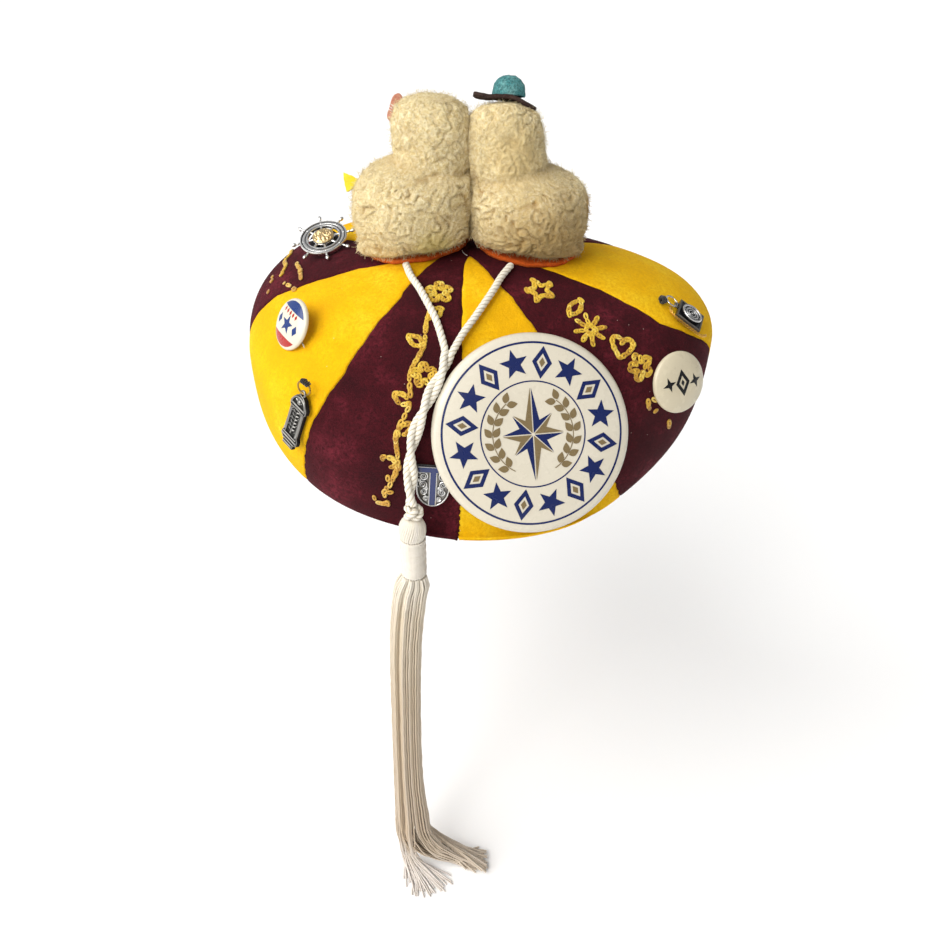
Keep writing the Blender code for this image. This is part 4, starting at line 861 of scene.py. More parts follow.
def chick_body(name, rings=148, around=216):
    foot_x, lean, ahead, height = CHICKS[name]
    points, parting_and_shade = [], []
    for i in range(rings):
        even = i / (rings - 1)
        share = 0.55 * (1 - cos(pi * even)) / 2 + 0.45 * even
        for j in range(around):
            a = 2 * pi * j / around
            side = cos(a) if foot_x < 0 else -cos(a)
            # the neck is lower where the chicks meet
            sunk = 0.09 * (0.5 + 0.5 * side) ** 2 * np.exp(-((share - 0.58) / 0.13) ** 2)
            near = share + sunk + np.array((-0.03, 0, 0.03)) * min(share / 0.3, (1 - share) / 0.2, 1)
            _, leaning, forward, wide, deep = [np.interp(near, CHICK_SECTIONS[:, 0],
                                                         CHICK_SECTIONS[:, k]).mean() for k in range(5)]
            inner = max(side, 0)
            squeezed = 1 + inner * (0.12 + 0.22 * np.clip((share + sunk - 0.53) / 0.13, 0, 1))
            # the outer fleece hangs over the sole
            hem = max(-side, 0) ** 0.6 * np.clip((0.17 - share) / 0.05, 0, 1)
            wide += (min(0.97, 0.44 + share * 10) - wide) * hem if wide < 0.97 else 0
            x = foot_x + lean * leaning + (HALF_WIDTH * wide - PILE_DEPTH) * cos(a) * squeezed
            x -= 2.0 * MM * np.clip((share - 0.7) / 0.25, 0, 1) if foot_x < 0 else 0
            y = ahead * forward + (HALF_DEPTH * deep - PILE_DEPTH) * sin(a)
            z = FOOT_LEVEL + height * share - PILE_DEPTH * even
            # at the front the fleece is tucked back and shows the sole
            tuck = (0.5 + 0.5 * side) * max(-sin(a), 0) ** 0.5 * np.clip((0.16 - share) / 0.12, 0, 1)
            y += TUCK_DEPTH * tuck
            pressed = x > press(y, z) - 0.4 * MM if foot_x < 0 else x < press(y, z) + 0.4 * MM
            if foot_x > 0:   # the fleece stands up to the underside of the hat's tilted brim
                up_to = np.clip((share - 0.80) / 0.19, 0, 1)
                z += up_to * up_to * (3 - 2 * up_to) * (BRIM_RISE - 0.33 * (y - 7 * MM)
                                                        - 0.10 * max(x - 19 * MM, 0))
            if share < 0.4:
                over = felt_over(x, y, SOLE_THICKNESS + 4 * FIT_GAP).z + 0.07 * MM * i
                drop = (SOLE_THICKNESS + 2 * FIT_GAP) * hem * np.clip((share - 0.052) / 0.012, 0, 1)
                z = max(z, over) - drop
            at = Vector((x, y, z))
            neck = float(np.exp(-((share - NECK_HEIGHT + sunk + 0.014 * noise.noise(at * 40))
                                  / NECK_SPREAD) ** 2)) * (0.75 + 0.25 * max(-side, 0))
            crease, curl = fleece(at)
            crease = max(crease * (0.9 if share < 0.6 else 0.4) * (0.5 + 1.2 * abs(noise.noise(at * 55))),
                         0.45 * neck)
            # how far the pile is parted: the pile tree shortens the hairs there and the material paints shade
            # there
            parting_and_shade.append(max(crease, 0.35 * (1 - curl)))
            lump = (noise.noise(at * 60) * 1.3 * MM + noise.noise(at * 170) * 0.5 * MM - crease * 2.0 * MM
                    - neck * 1.3 * MM + (curl - 0.5) * 0.7 * MM)
            out = Vector((cos(a), sin(a), (even - 0.5) * 0.9)).normalized()
            for spot in DIMPLES:
                lump -= 2.2 * MM * np.exp(-((at - Vector(spot) * MM).length / (4 * MM)) ** 2)
            at += out * lump * (1 if 0.05 < even < 0.97 else 0)
            limit = press(at.y, at.z) + (-0.03 if foot_x < 0 else 0.03) * MM
            at.x = limit if pressed else (min if foot_x < 0 else max)(at.x, limit)
            points.append(at)
    faces = grid_faces(rings, around, closed=True)
    for i, order in ((0, range(around - 1, -1, -1)), (rings - 1, range(around))):
        loop = [i * around + j for j in order]
        points.append(sum((points[k] for k in loop), Vector()) / around)
        faces += [(loop[j], loop[(j + 1) % around], len(points) - 1) for j in range(around)]
        parting_and_shade.append(0.0)
    mesh = mesh_of(name + "_plush", points, faces)
    mesh.attributes.new("parting_and_shade", "FLOAT", "POINT").data.foreach_set("value", parting_and_shade)
    return mesh


# %% A tree that grows brushed pile
pile_tree, given, result = new_tree("brushed_pile", Lock_length=2.7 * MM,
                                    Lock_radius=0.075 * MM, Spacing=0.95 * MM,
                                    Density=2500000.0, Lean=1.7, Swirls_per_metre=190.0, Seed=3)
tree = pile_tree
body = given["Geometry"]
spread = add(tree, "GeometryNodeDistributePointsOnFaces",
             {"Mesh": body, "Distance Min": given["Spacing"], "Density Max": given["Density"],
              "Seed": given["Seed"]}, out=None, distribute_method="POISSON")
field = add(tree, "ShaderNodeTexNoise", {"Vector": add(tree, "GeometryNodeInputPosition"),
                                         "Scale": given["Swirls per metre"], "Detail": 2.0}, out=1)
field = add(tree, "ShaderNodeVectorMath", field, (0.5, 0.5, 0.5), operation="SUBTRACT")
sideways = add(tree, "ShaderNodeVectorMath", field, spread.outputs["Normal"], operation="CROSS_PRODUCT")
sideways = add(tree, "ShaderNodeVectorMath", sideways, operation="NORMALIZE")
sideways = add(tree, "ShaderNodeVectorMath", {0: sideways, "Scale": given["Lean"]}, operation="SCALE")
laid = add(tree, "ShaderNodeVectorMath", spread.outputs["Normal"], sideways, operation="ADD")
turned_to = add(tree, "FunctionNodeAlignRotationToVector", {"Vector": laid}, axis="Z")
spin = add(tree, "FunctionNodeRandomValue", {"Min": (0, 0, 0), "Max": (0, 0, 2 * pi),
                                             "Seed": given["Seed"]}, data_type="FLOAT_VECTOR")
spin = add(tree, "FunctionNodeEulerToRotation", spin)
turned_to = add(tree, "FunctionNodeRotateRotation", turned_to, spin, rotation_space="LOCAL")
bend = add(tree, "GeometryNodeCurveQuadraticBezier",
           {"Resolution": 2, "Start": (0, 0, -0.1), "Middle": (0.05, 0, 0.55), "End": (0.50, 0.16, 0.80)})
# the share along each hair: it tapers the hair, and the material paints shade at the roots with it
reach = add(tree, "GeometryNodeSplineParameter")
bend = add(tree, "GeometryNodeStoreNamedAttribute", {"Geometry": bend, "Name": "reach", "Value": reach},
           data_type="FLOAT", domain="POINT")
taper = add(tree, "SUBTRACT", 1.0, add(tree, "MULTIPLY", add(tree, "POWER", reach, 2.0), 0.75))
bend = add(tree, "GeometryNodeTransform",
           {"Geometry": bend, "Scale": add(tree, "ShaderNodeCombineXYZ", given["Lock length"],
                                           given["Lock length"], given["Lock length"])})
bend = add(tree, "GeometryNodeSetCurveRadius", {"Curve": bend, "Radius": taper})
ring = add(tree, "GeometryNodeCurvePrimitiveCircle", {"Resolution": 3, "Radius": given["Lock radius"]})
lock = add(tree, "GeometryNodeCurveToMesh", {"Curve": bend, "Profile Curve": ring, "Fill Caps": True})
size = add(tree, "random", 0.7, 1.25, 11)
parting_and_shade = add(tree, "GeometryNodeInputNamedAttribute", {"Name": "parting_and_shade"}, data_type="FLOAT")
size = add(tree, "MULTIPLY", size, add(tree, "SUBTRACT", 1.0, add(tree, "MULTIPLY", parting_and_shade, 0.8)))
pile = add(tree, "GeometryNodeInstanceOnPoints",
           {"Points": spread.outputs[0], "Instance": lock, "Rotation": turned_to, "Scale": size})
tone = add(tree, "random", 0.0, 1.0, 5)
pile = add(tree, "GeometryNodeStoreNamedAttribute", {"Geometry": pile, "Name": "tone", "Value": tone},
           data_type="FLOAT", domain="INSTANCE")
both = add(tree, "GeometryNodeJoinGeometry", out=None)
tree.links.new(pile, both.inputs[0])
tree.links.new(body, both.inputs[0])
finish_tree(tree, both.outputs[0], result)
print("pile tree:", len(pile_tree.nodes), "nodes")


# %% Plush material
# Wool plush: cream pile that has yellowed unevenly, with painted shade at the roots of its hairs and in its
# creases. Painted shade also darkens the dimples and the right chick's body and head, the side away from the
# light, and three smaller spots are darker tan.
def near_spot(tree, at, place, size):
    """One at a place and nothing past size from it."""
    away = add(tree, "ShaderNodeVectorMath", at, tuple(Vector(place) * MM),
               out="Value", operation="DISTANCE")
    return add(tree, "ShaderNodeMapRange", away, size * 0.25, size, 1.0,
               0.0, interpolation_type="SMOOTHSTEP")


wool_plush, tree, shader, at = start_material("wool_plush", "#DCCB9C", 0.85, Sheen_Weight=0.25,
                                              Sheen_Roughness=0.4, Specular_IOR_Level=0.2)
shader.inputs["Sheen Tint"].default_value = colour("#FFF6D8")
reach = add(tree, "ShaderNodeAttribute", out="Fac", attribute_name="reach")
parting_and_shade = add(tree, "ShaderNodeAttribute", out="Fac", attribute_name="parting_and_shade")
wool = add(tree, "noise", at, 520, 4, 0.62, 1.8)
skin = add(tree, "ramp", wool, stops=((0.30, "#C0A468"), (0.50, "#E6D7AC"), (0.70, "#F9F1D8")))
skin = add(tree, "mix", add(tree, "MULTIPLY", add(tree, "noise", at, 30, 3), 0.60), skin, colour("#DFCC94"))
# painted shade: darker in the creases, the neck and between the curls
skin = add(tree, "mix", add(tree, "MULTIPLY", parting_and_shade, 0.85), skin, colour("#9C7230"))
# painted shade and highlight: the hairs are darker at their roots and lighter at their tips
skin = add(tree, "mix", add(tree, "MULTIPLY", reach, 0.30), skin, colour("#F6ECCC"))
# painted shade: darker spots over the two dimples and over the right chick's body and head, the side away
# from the light; the spots at (57, -3, 123), (-14, -26, 108) and (3, -22, 135) mm are darker tan
for place, size, code in ((DIMPLES[0], 5.5 * MM, "#B98A35"), (DIMPLES[1], 6.5 * MM, "#CBA955"),
                          ((57, -3, 123), 9 * MM, "#B0853A"), ((-14, -26, 108), 16 * MM, "#C9B468"),
                          ((3, -22, 135), 12 * MM, "#D8C083"), ((38, -20, 108), 40 * MM, "#9F8048"),
                          ((24, -14, 150), 22 * MM, "#CDB681")):
    skin = add(tree, "mix", add(tree, "MULTIPLY", near_spot(tree, at, place, size), 0.75),
               skin, colour(code))
surface(tree, shader, skin, wool, 0.7 * MM, 0.75)

for name, seed in (("chick_left", 3), ("chick_right", 8)):
    mesh = grown(name + "_plush", chick_body(name), pile_tree, wool_plush, Seed=seed)
    body = piece(name + "_plush", mesh, None, "cream_plush", name)
    print(name, "pile:", sum(len(p.vertices) - 2 for p in mesh.polygons), "triangles")

# %% [markdown]
# ## Small felt pieces
# Each chick stands on an orange felt sole. The right one wears a small teal felt hat with a brown brim,
# and a salmon and a yellow scrap show beside the left one. All are cut felt or needled felt, so they take
# the gores' felt material in their own colours, and their cut edges are a little uneven.

# %% Soles
orange_felt = felt_material("orange_wool_felt", "#E0621C", "#B9450F", "#F28A45")
SOLES = {   # middle x, y, half length, half width, turn
    "sole_left": (CHICKS["chick_left"][0] + 3 * MM, 6 * MM, 0.877 * HALF_WIDTH, 0.733 * HALF_DEPTH, 24),
    "sole_right": (CHICKS["chick_right"][0] - 1.5 * MM, 5 * MM, 0.877 * HALF_WIDTH, 0.783 * HALF_DEPTH, -18),
}


def disc_sheet(name, place, shares=(0, 0.2, 0.4, 0.6, 0.75, 0.87, 0.95, 1.0), around=72):
    """A round sheet: place(share, angle) gives its points, and the middle is one point."""
    points = [place(0.0, 0.0)] + [place(share, 2 * pi * j / around) for share in shares[1:]
                                  for j in range(around)]
    faces = [(0, 1 + j, 1 + (j + 1) % around) for j in range(around)]
    for i in range(len(shares) - 2):
        low, high = 1 + i * around, 1 + (i + 1) * around
        faces += [(low + j, high + j, high + (j + 1) % around, low + (j + 1) % around)
                  for j in range(around)]
    return mesh_of(name, points, faces)


for name, (x, y, long, wide, turn) in SOLES.items():
    def on_sole(share, a):
        rough = 1 + 0.012 * sin(9 * a + x * 900) + 0.008 * sin(23 * a)
        flat = [(long * share * rough * cos(a), wide * share * rough * sin(a))]
        return felt_over(*placed(flat, x, y, turn)[0], FIT_GAP + 0.1 * MM)

    piece(name + "_felt", thickened(name + "_felt", disc_sheet(name, on_sole), SOLE_THICKNESS, 1.0),
          orange_felt, "orange_felt", name)
print("soles:", list(SOLES))


# %% Hat and scraps
def uneven(mesh, depth, size):
    """Moves the points of a small felt piece a little in and out, as needled felt is."""
    for v in mesh.vertices:
        v.co += v.normal * noise.noise(v.co / size) * depth
    return mesh


teal_felt = felt_material("teal_needled_felt", "#3F8C8F", "#0F3F45", "#A9DCD6", finer=1.6)
brown_felt = felt_material("brown_needled_felt", "#3B2B27", "#1C1210", "#7A6158", finer=1.4)
salmon_felt = felt_material("salmon_wool_felt", "#C98A70", "#9C5D48", "#E4AE98", finer=2.0)
yellow_felt = felt_material("yellow_wool_felt", "#F6E63A", "#E8D022", "#FFF58A", finer=2.0)
HAT_AT, HAT_FACING = Vector((17.19, 8.8, 167.7)) * MM, (0.06, 0.32, 0.945)
hat_turn = turn_to(HAT_FACING, (0, 1, 0.3))


def on_brim(share, a):
    wide = 1 + 0.03 * sin(3 * a + 0.6)
    x, y = 14.2 * MM * share * cos(a) * wide, 9.6 * MM * share * sin(a) * wide
    droop = 4.0 * MM * max(share * cos(a), 0) ** 2 - 0.8 * MM * max(-share * cos(a), 0) ** 2
    return (x, y, -droop + 0.35 * MM * share * sin(4 * a + 1))


brim = uneven(thickened("chick_hat_brim_felt", disc_sheet("brim", on_brim), 1.6 * MM, 1.0),
              0.30 * MM, 1.6 * MM)
brim.transform(Matrix.Translation(HAT_AT) @ hat_turn)
piece("chick_hat_brim_felt", brim, brown_felt, "brown_felt", "chick_hat_brim")


def revolved(name, profile, around=64):
    """A closed body of revolution from a profile that runs from its top down the outer side, in metres."""
    bm = bmesh.new()
    rings = []
    for radius, height in profile:
        if radius < 1e-6:
            rings.append([bm.verts.new((0, 0, height))] * around)
        else:
            rings.append([bm.verts.new((radius * cos(2 * pi * j / around),
                                        radius * sin(2 * pi * j / around), height)) for j in range(around)])
    for upper, lower in zip(rings[:-1], rings[1:]):
        for j in range(around):
            k = (j + 1) % around
            ring = []
            for vertex in (upper[j], lower[j], lower[k], upper[k]):
                if vertex not in ring:
                    ring.append(vertex)
            if len(ring) > 2:
                bm.faces.new(ring)
    bmesh.ops.recalc_face_normals(bm, faces=bm.faces)
    return smoothed(mesh_from(bm, name))


def filled(bm, loops, height):
    """Fills between closed outlines in mm, the first the outside and the rest holes."""
    edges = []
    for loop in loops:
        corners = [bm.verts.new((x * MM, y * MM, height)) for x, y in loop]
        edges += [bm.edges.new((a, b)) for a, b in zip(corners, corners[1:] + corners[:1])]
    bmesh.ops.triangle_fill(bm, edges=edges, use_beauty=True, normal=(0, 0, 1))


dome = [(0, 1), (0.2, 0.99), (0.38, 0.95), (0.54, 0.89), (0.68, 0.80),
        (0.79, 0.69), (0.88, 0.56), (0.935, 0.42), (0.965, 0.27), (0.98, 0.12), (0.99, 0.03),
        (0.97, 0), (0.80, 0), (0.77, 0.26), (0.68, 0.49), (0.51, 0.67), (0.30, 0.78), (0, 0.82)]
crown = revolved("chick_hat_crown_felt", [(r * 7.6 * MM, z * 8.8 * MM) for r, z in dome], 48)
crown = uneven(crown, 0.5 * MM, 1.1 * MM)
crown.transform(Matrix.Translation(HAT_AT + Vector(HAT_FACING).normalized() * 2.0 * MM
                                   + Vector((2.0, 0, -0.3)) * MM) @ hat_turn)
piece("chick_hat_crown_felt", crown, teal_felt, "teal_felt", "chick_hat_crown")

SALMON_PLACE = place_at((-33.0, 21.8, 160.9), (-0.25, -0.85, 0.50), (0.25, 0.1, 1))
YELLOW_PLACE = place_at((-55.2, 14.0, 128.6), (-0.2, -0.85, 0.5), (-0.75, 0.1, 1))
for name, place, wide, high, corners, cloth, slot in (
        ("felt_scrap_salmon", SALMON_PLACE, 4.1, 5.8, (2, 0.26), salmon_felt, "salmon_felt"),
        ("felt_scrap_yellow", YELLOW_PLACE, 4.6, 5.0, (3, 0), yellow_felt, "yellow_felt")):
    def on_scrap(share, a):
        lobed = 1 + corners[1] * cos(corners[0] * (a - pi / 2)) - 0.5 * corners[1]
        if not corners[1]:   # three straight sides with rounded corners
            lobed = 0.5 / cos((a - pi / 2) % (2 * pi / 3) - pi / 3) + 0.1
        x, y = wide * MM * share * cos(a) * lobed, high * MM * share * sin(a) * lobed
        return (x, y, -0.12 * x * x / (wide * MM) + 0.3 * MM * sin(y / (2 * MM)))

    scrap = uneven(thickened(name + "_cut", disc_sheet(name, on_scrap, around=40), 1.5 * MM, 0.0),
                   0.25 * MM, 1.2 * MM)
    scrap.transform(place)
    piece(name + "_cut", scrap, cloth, slot, name)
print("hat and scraps made")

# %% [markdown]
# ## Embroidery
# The maroon gores carry chain stitch in yellow cotton. The real one spells words, which are left out: a
# climbing spray of flowers and leaves is on one gore and separate small motifs on the other. Every link
# of the stitch is one loop of thread, and a Geometry Nodes tree sets a link on every point of a line,
# along the line and flat on the felt, turns it a little and drops it where the thread has worn away.

# %% A tree that sews chain stitch
stitch_tree, given, result = new_tree("chain_stitch", Link_length=2.9 * MM,
                                      Link_width=1.5 * MM, Thread_radius=0.54 * MM, Loose_turn=0.22, Seed=4)
tree = stitch_tree
sewn = given["Geometry"]
ahead = add(tree, "GeometryNodeInputNamedAttribute", {"Name": "ahead"}, data_type="FLOAT_VECTOR")
outward = add(tree, "GeometryNodeInputNamedAttribute", {"Name": "outward"}, data_type="FLOAT_VECTOR")
fresh = add(tree, "GeometryNodeInputNamedAttribute", {"Name": "fresh"}, data_type="FLOAT")
luck = add(tree, "random", 0.0, 1.0, given["Seed"])
gone = add(tree, "FunctionNodeCompare", luck, fresh, data_type="FLOAT", operation="GREATER_THAN")
left = add(tree, "GeometryNodeDeleteGeometry", {"Geometry": sewn, "Selection": gone}, domain="POINT")
lie = add(tree, "FunctionNodeAxesToRotation", outward, ahead, primary_axis="Z", secondary_axis="X")
loose = add(tree, "ShaderNodeCombineXYZ", {1: given["Loose turn"], 2: given["Loose turn"]})
tight = add(tree, "ShaderNodeVectorMath", {0: loose, "Scale": -1.0}, operation="SCALE")
twist = add(tree, "FunctionNodeRandomValue", {"Min": tight, "Max": loose, "Seed": 9},
            data_type="FLOAT_VECTOR")
twist = add(tree, "FunctionNodeEulerToRotation", twist)
lie = add(tree, "FunctionNodeRotateRotation", lie, twist, rotation_space="LOCAL")
loop = add(tree, "GeometryNodeCurvePrimitiveCircle", {"Resolution": 12, "Radius": 0.5})
loop = add(tree, "GeometryNodeTransform",
           {"Geometry": loop, "Scale": add(tree, "ShaderNodeCombineXYZ",
                                           given["Link length"], given["Link width"], 1.0)})
arch = add(tree, "ShaderNodeCombineXYZ",
           {2: add(tree, "MULTIPLY", 0.12, add(tree, "ShaderNodeSeparateXYZ",
                                               add(tree, "GeometryNodeInputPosition")))})
loop = add(tree, "GeometryNodeSetPosition", {"Geometry": loop, "Offset": arch})
strand = add(tree, "GeometryNodeCurvePrimitiveCircle", {"Resolution": 6, "Radius": given["Thread radius"]})
loop = add(tree, "GeometryNodeCurveToMesh", {"Curve": loop, "Profile Curve": strand})
size = add(tree, "random", 0.82, 1.12, 21)
links = add(tree, "GeometryNodeInstanceOnPoints",
            {"Points": left, "Instance": loop, "Rotation": lie, "Scale": size})
tone = add(tree, "random", 0.0, 1.0, 5)
links = add(tree, "GeometryNodeStoreNamedAttribute", {"Geometry": links, "Name": "tone", "Value": tone},
            data_type="FLOAT", domain="INSTANCE")
finish_tree(tree, links, result)
print("stitch tree:", len(stitch_tree.nodes), "nodes")

# %% Embroidery thread
# Mercerised cotton, gold yellow where it is fresh; the worn links have lost their sheen and gone pinkish.
cotton_floss, tree, shader, at = start_material("gold_embroidery_cotton",
                                                "#E2B92F", 0.48, Sheen_Weight=0.25, Specular_IOR_Level=0.4)
tone = add(tree, "ShaderNodeAttribute", out="Fac", attribute_name="tone")
fresh = add(tree, "ShaderNodeAttribute", out="Fac", attribute_name="fresh")
skin = add(tree, "ramp", tone, stops=((0.0, "#B98A12"), (0.35, "#DDB220"),
                                      (0.75, "#EBC62E"), (1.0, "#F4DB62")))
worn = add(tree, "ramp", tone, stops=((0.0, "#A8662F"), (0.5, "#CF9750"), (1.0, "#E3BD78")))
skin = add(tree, "mix", fresh, worn, skin)
skin = add(tree, "mix", add(tree, "MULTIPLY", add(tree, "noise", at, 900, 2), 0.55),
           skin, colour("#8F6412"))
surface(tree, shader, skin, add(tree, "noise", at, 2600, 2), 0.12 * MM, 0.8)


# %% Motifs
def rose(petals, inner, outer, count=40):
    """A flower's outline: a closed line that swings out once for each petal."""
    angles = np.linspace(0, 2 * pi, count * petals // 5 + 1)
    radii = inner + (outer - inner) * abs(np.cos(petals * angles / 2))
    return [(r * cos(a), r * sin(a)) for a, r in zip(angles, radii)]


def leaf(x, y, turn, length, width):
    """A leaf's outline from its stalk's end at (x, y), pointing along turn."""
    edge = [(length * u, width / 2 * side * sin(pi * u ** 0.8))
            for side in (1, -1) for u in np.linspace(0, 1, 9)[::side]]
    return placed(edge, x, y, turn)


def spokes(count, near, far, start=90):
    """Short straight lines that point out from the middle."""
    return [[(r * cos(a), r * sin(a)) for r in (near, far)]
            for a in (radians(start + 360 * k / count) for k in range(count))]


STAR = ray_star(5, 6.6, 2.9) + ray_star(5, 6.6, 2.9)[:1]
SUN = [[(2.3, 0), (0, 2.6), (-2.3, 0), (0, -2.6), (2.3, 0)]] + spokes(8, 4.0, 6.6)
STITCH_LIFT = 0.35 * MM
HEART = [(5.2 * sin(a) ** 3, 4.6 * cos(a) - 1.8 * cos(2 * a) - 0.8 * cos(3 * a))
         for a in np.linspace(0, 2 * pi, 30)]


def sewn_line(azimuth, t, stroke, fresh, spacing=1.6, turn=0.0):
    """A stroke in mm round a place on the felt as points, ways, normals and wear, evenly spaced."""
    stroke = np.array(placed(stroke, 0, 0, turn))
    run = run_along(stroke)
    stops = np.linspace(0, run[-1], max(2, round(run[-1] / spacing) + 1))
    if np.linalg.norm(stroke[0] - stroke[-1]) < 0.1:
        stops = stops[:-1]
    flat = np.stack([np.interp(stops, run, stroke[:, k]) for k in range(2)], -1) * MM
    out = felt_normal(azimuth, t)
    around = (felt(azimuth + 0.5, t) - felt(azimuth - 0.5, t))
    down = (felt(azimuth, t + 0.005) - felt(azimuth, t - 0.005)) / 0.01
    side = unit(np.cross((0, 0, 1), out))
    up = np.cross(out, side)
    grid = np.linalg.inv(np.array([[around @ side, down @ side], [around @ up, down @ up]]))
    shift = flat @ grid.T
    azimuths, ts = azimuth + shift[:, 0], t + shift[:, 1]
    return *on_gore(azimuths, ts), np.full(len(stops), fresh)


def on_gore(azimuths, ts, lift=STITCH_LIFT):
    """A line's points over the felt, the ways it runs and the felt's normals."""
    points = felt(azimuths, ts, lift)
    return points, unit(np.gradient(points, axis=0)), felt_normal(azimuths, ts)


def free_line(rows, spacing, lift=STITCH_LIFT):
    """The same for a smooth line through rows of azimuth and t."""
    line = smooth_curve(rows, spacing, lambda row: felt(row[0], row[1]))
    return on_gore(line[:, 0], line[:, 1], lift)


def sew(name, rows, node):
    points, ways, outs, worn = (np.concatenate(part) for part in zip(*rows))
    source = mesh_of(name + "_line", points, [])
    for label, kind, key, values in (("ahead", "FLOAT_VECTOR", "vector", ways),
                                     ("outward", "FLOAT_VECTOR", "vector", outs),
                                     ("fresh", "FLOAT", "value", worn)):
        layer = source.attributes.new(label, kind, "POINT")
        layer.data.foreach_set(key, values.ravel().astype(np.float32))
    mesh = grown(name, source, stitch_tree, cotton_floss)
    piece(name, mesh, None, None, node)
    print(name, len(points), "stitches,", sum(len(p.vertices) - 2 for p in mesh.polygons), "triangles")


# %% Climbing spray on the front left gore
SPRAY = ((-17.5, 0.27), (-18.3, 0.375), (-16.4, 0.475), (-18.6, 0.575),
         (-17.0, 0.675), (-19.5, 0.785), (-18.6, 0.90), (-22.0, 1.055), (-21.5, 1.25))
rows = []
stem = free_line(SPRAY, 1.7 * MM)
fresh = 0.94 - 0.5 * np.linspace(0, 1, len(stem[0]))
rows.append([values[6:] for values in (*stem, fresh)])   # the stem starts below the topmost flower
for k, (azimuth, t) in enumerate(SPRAY[1:], 1):
    fresh = (0.98, 0.95, 0.9, 0.85, 0.8, 0.7, 0.55, 0.4)[k - 1]
    if k == 3:
        rows.append(sewn_line(azimuth + 4.4, t, rose(5, 2.2, 5.2), fresh, turn=20))
    else:
        rows.append(sewn_line(azimuth, t, leaf(*((0.8, 0, 35) if k % 2 else (-0.8, 0, 145)), 7.5, 4.2),
                              fresh))
rows.append(sewn_line(SPRAY[0][0], SPRAY[0][1], rose(5, 2.2, 6.0), 1.0, turn=18))
sew("embroidered_spray", rows, "gore_front_left_maroon")

# %% Separate motifs on the front right gore
rows = []
for azimuth, t, strokes, fresh, turn in ((46.0, 0.325, [STAR], 1.0, 12),
                                         (52.0, 0.435, [leaf(-5, 0, 0, 10, 5.0)], 0.98, 40),
                                         (50.0, 0.535, SUN, 0.96, 0), (55.0, 0.645, [HEART], 0.92, -25),
                                         (56.5, 0.755, [rose(5, 2.3, 6.0)], 0.9, 30),
                                         (57.0, 0.95, [leaf(-4, 0, 0, 8.5, 4.4)], 0.6, -60),
                                         (63.5, 1.19, [[(0, 3), (1, -2)]], 0.6, 0)):
    rows += [sewn_line(azimuth, t, stroke, fresh, turn=turn) for stroke in strokes]
sew("embroidered_motifs", rows, "gore_front_right_maroon")

# %% Worn stitches on the left gore
rows = []
for way, fresh in ((((-116, 0.70), (-112, 0.66), (-107, 0.655), (-102, 0.62), (-97, 0.625)), 0.9),
                   (((-104, 0.72), (-98, 0.69), (-92, 0.70)), 0.35),
                   (((-99, 0.55), (-93, 0.525), (-86, 0.52)), 0.5),
                   (((-90, 0.60), (-84, 0.56), (-78, 0.55)), 0.45)):
    line = free_line(way, 1.6 * MM)
    rows.append((*line, np.full(len(line[0]), fresh)))
sew("embroidered_scraps", rows, "gore_left_maroon")

# %% [markdown]
# ## Pin-back buttons
# Each button is a pressed metal shell under a clear film over printed paper, with its rim rolled back.
# The film gives a smooth, slightly yellowed gloss. The real prints carry words, so generic designs of
# their colours take their place. Prints are drawn as shapes 0.05 mm thick that follow the dome.

# %% Button shells
BUTTONS = {   # diameter, rise, roll of the rim, facing
    "button_large": (89 * MM, 7.5 * MM, 1.8 * MM, (0.135, -0.870, 0.474)),
    "button_small": (24 * MM, 3.8 * MM, 1.1 * MM, (-0.70, -0.53, 0.48)),
    "button_plain": (29 * MM, 4.4 * MM, 1.1 * MM, (0.47, -0.81, 0.35)),
}
SHELL_WALL, PRINT_THICKNESS, PRINT_EDGE = 0.8 * MM, 0.05 * MM, 2.4 * MM
ROLLED_RIM = (   # shares of the roll in from the edge and of the rise
    (0.72, 0.545), (0.42, 0.48), (0.18, 0.40), (0.04, 0.32), (0.0, 0.25), (0.04, 0.15), (0.14, 0.07),
    (0.35, 0.01), (0.6, 0.0), (1.0, 0.03))


def dome_height(name, radius):
    """The height of a button's face over its back at a radius."""
    diameter, rise, roll, _ = BUTTONS[name]
    share = np.minimum(radius / (diameter / 2 - roll), 1.0)
    return rise * (1 - 0.42 * share ** 3.6)


def button_shell(name):
    diameter, rise, roll, facing = BUTTONS[name]
    edge = diameter / 2
    profile = [(r, float(dome_height(name, r))) for r in np.linspace(0, edge - roll, 22)]
    profile += [(edge - roll * a, rise * b) for a, b in ROLLED_RIM]
    inner = edge - roll - SHELL_WALL
    profile += [(inner, 0.06 * rise), (inner, 0.36 * rise)]
    profile += [(r, float(dome_height(name, r)) - SHELL_WALL) for r in np.linspace(inner * 0.985, 0, 12)]
    shell = revolved(name + "_shell", profile, 96)
    shell.transform(seat_of(name, facing))
    return shell


def printed(name, button, shapes, material, lift=0.03):
    """Flat shapes in mm laid on a button's dome, cut fine enough to follow it, 0.05 mm thick."""
    bm = bmesh.new()
    for shape in shapes:
        filled(bm, shape if isinstance(shape[0][0], (tuple, list)) else [shape], 0)
    for _ in range(5):
        long = [e for e in bm.edges if e.calc_length() > PRINT_EDGE]
        if not long:
            break
        bmesh.ops.subdivide_edges(bm, edges=long, cuts=1)
        bmesh.ops.triangulate(bm, faces=bm.faces)
    for f in bm.faces:
        f.normal_update()
        if f.normal.z < 0:
            f.normal_flip()
    for v in bm.verts:
        v.co.z = float(dome_height(button, hypot(v.co.x, v.co.y))) + lift * MM
    mesh = thickened(name, mesh_from(bm, name), PRINT_THICKNESS, 1.0)
    mesh.transform(seat_of(button, BUTTONS[button][3]))
    return piece(name, mesh, material, None, button)


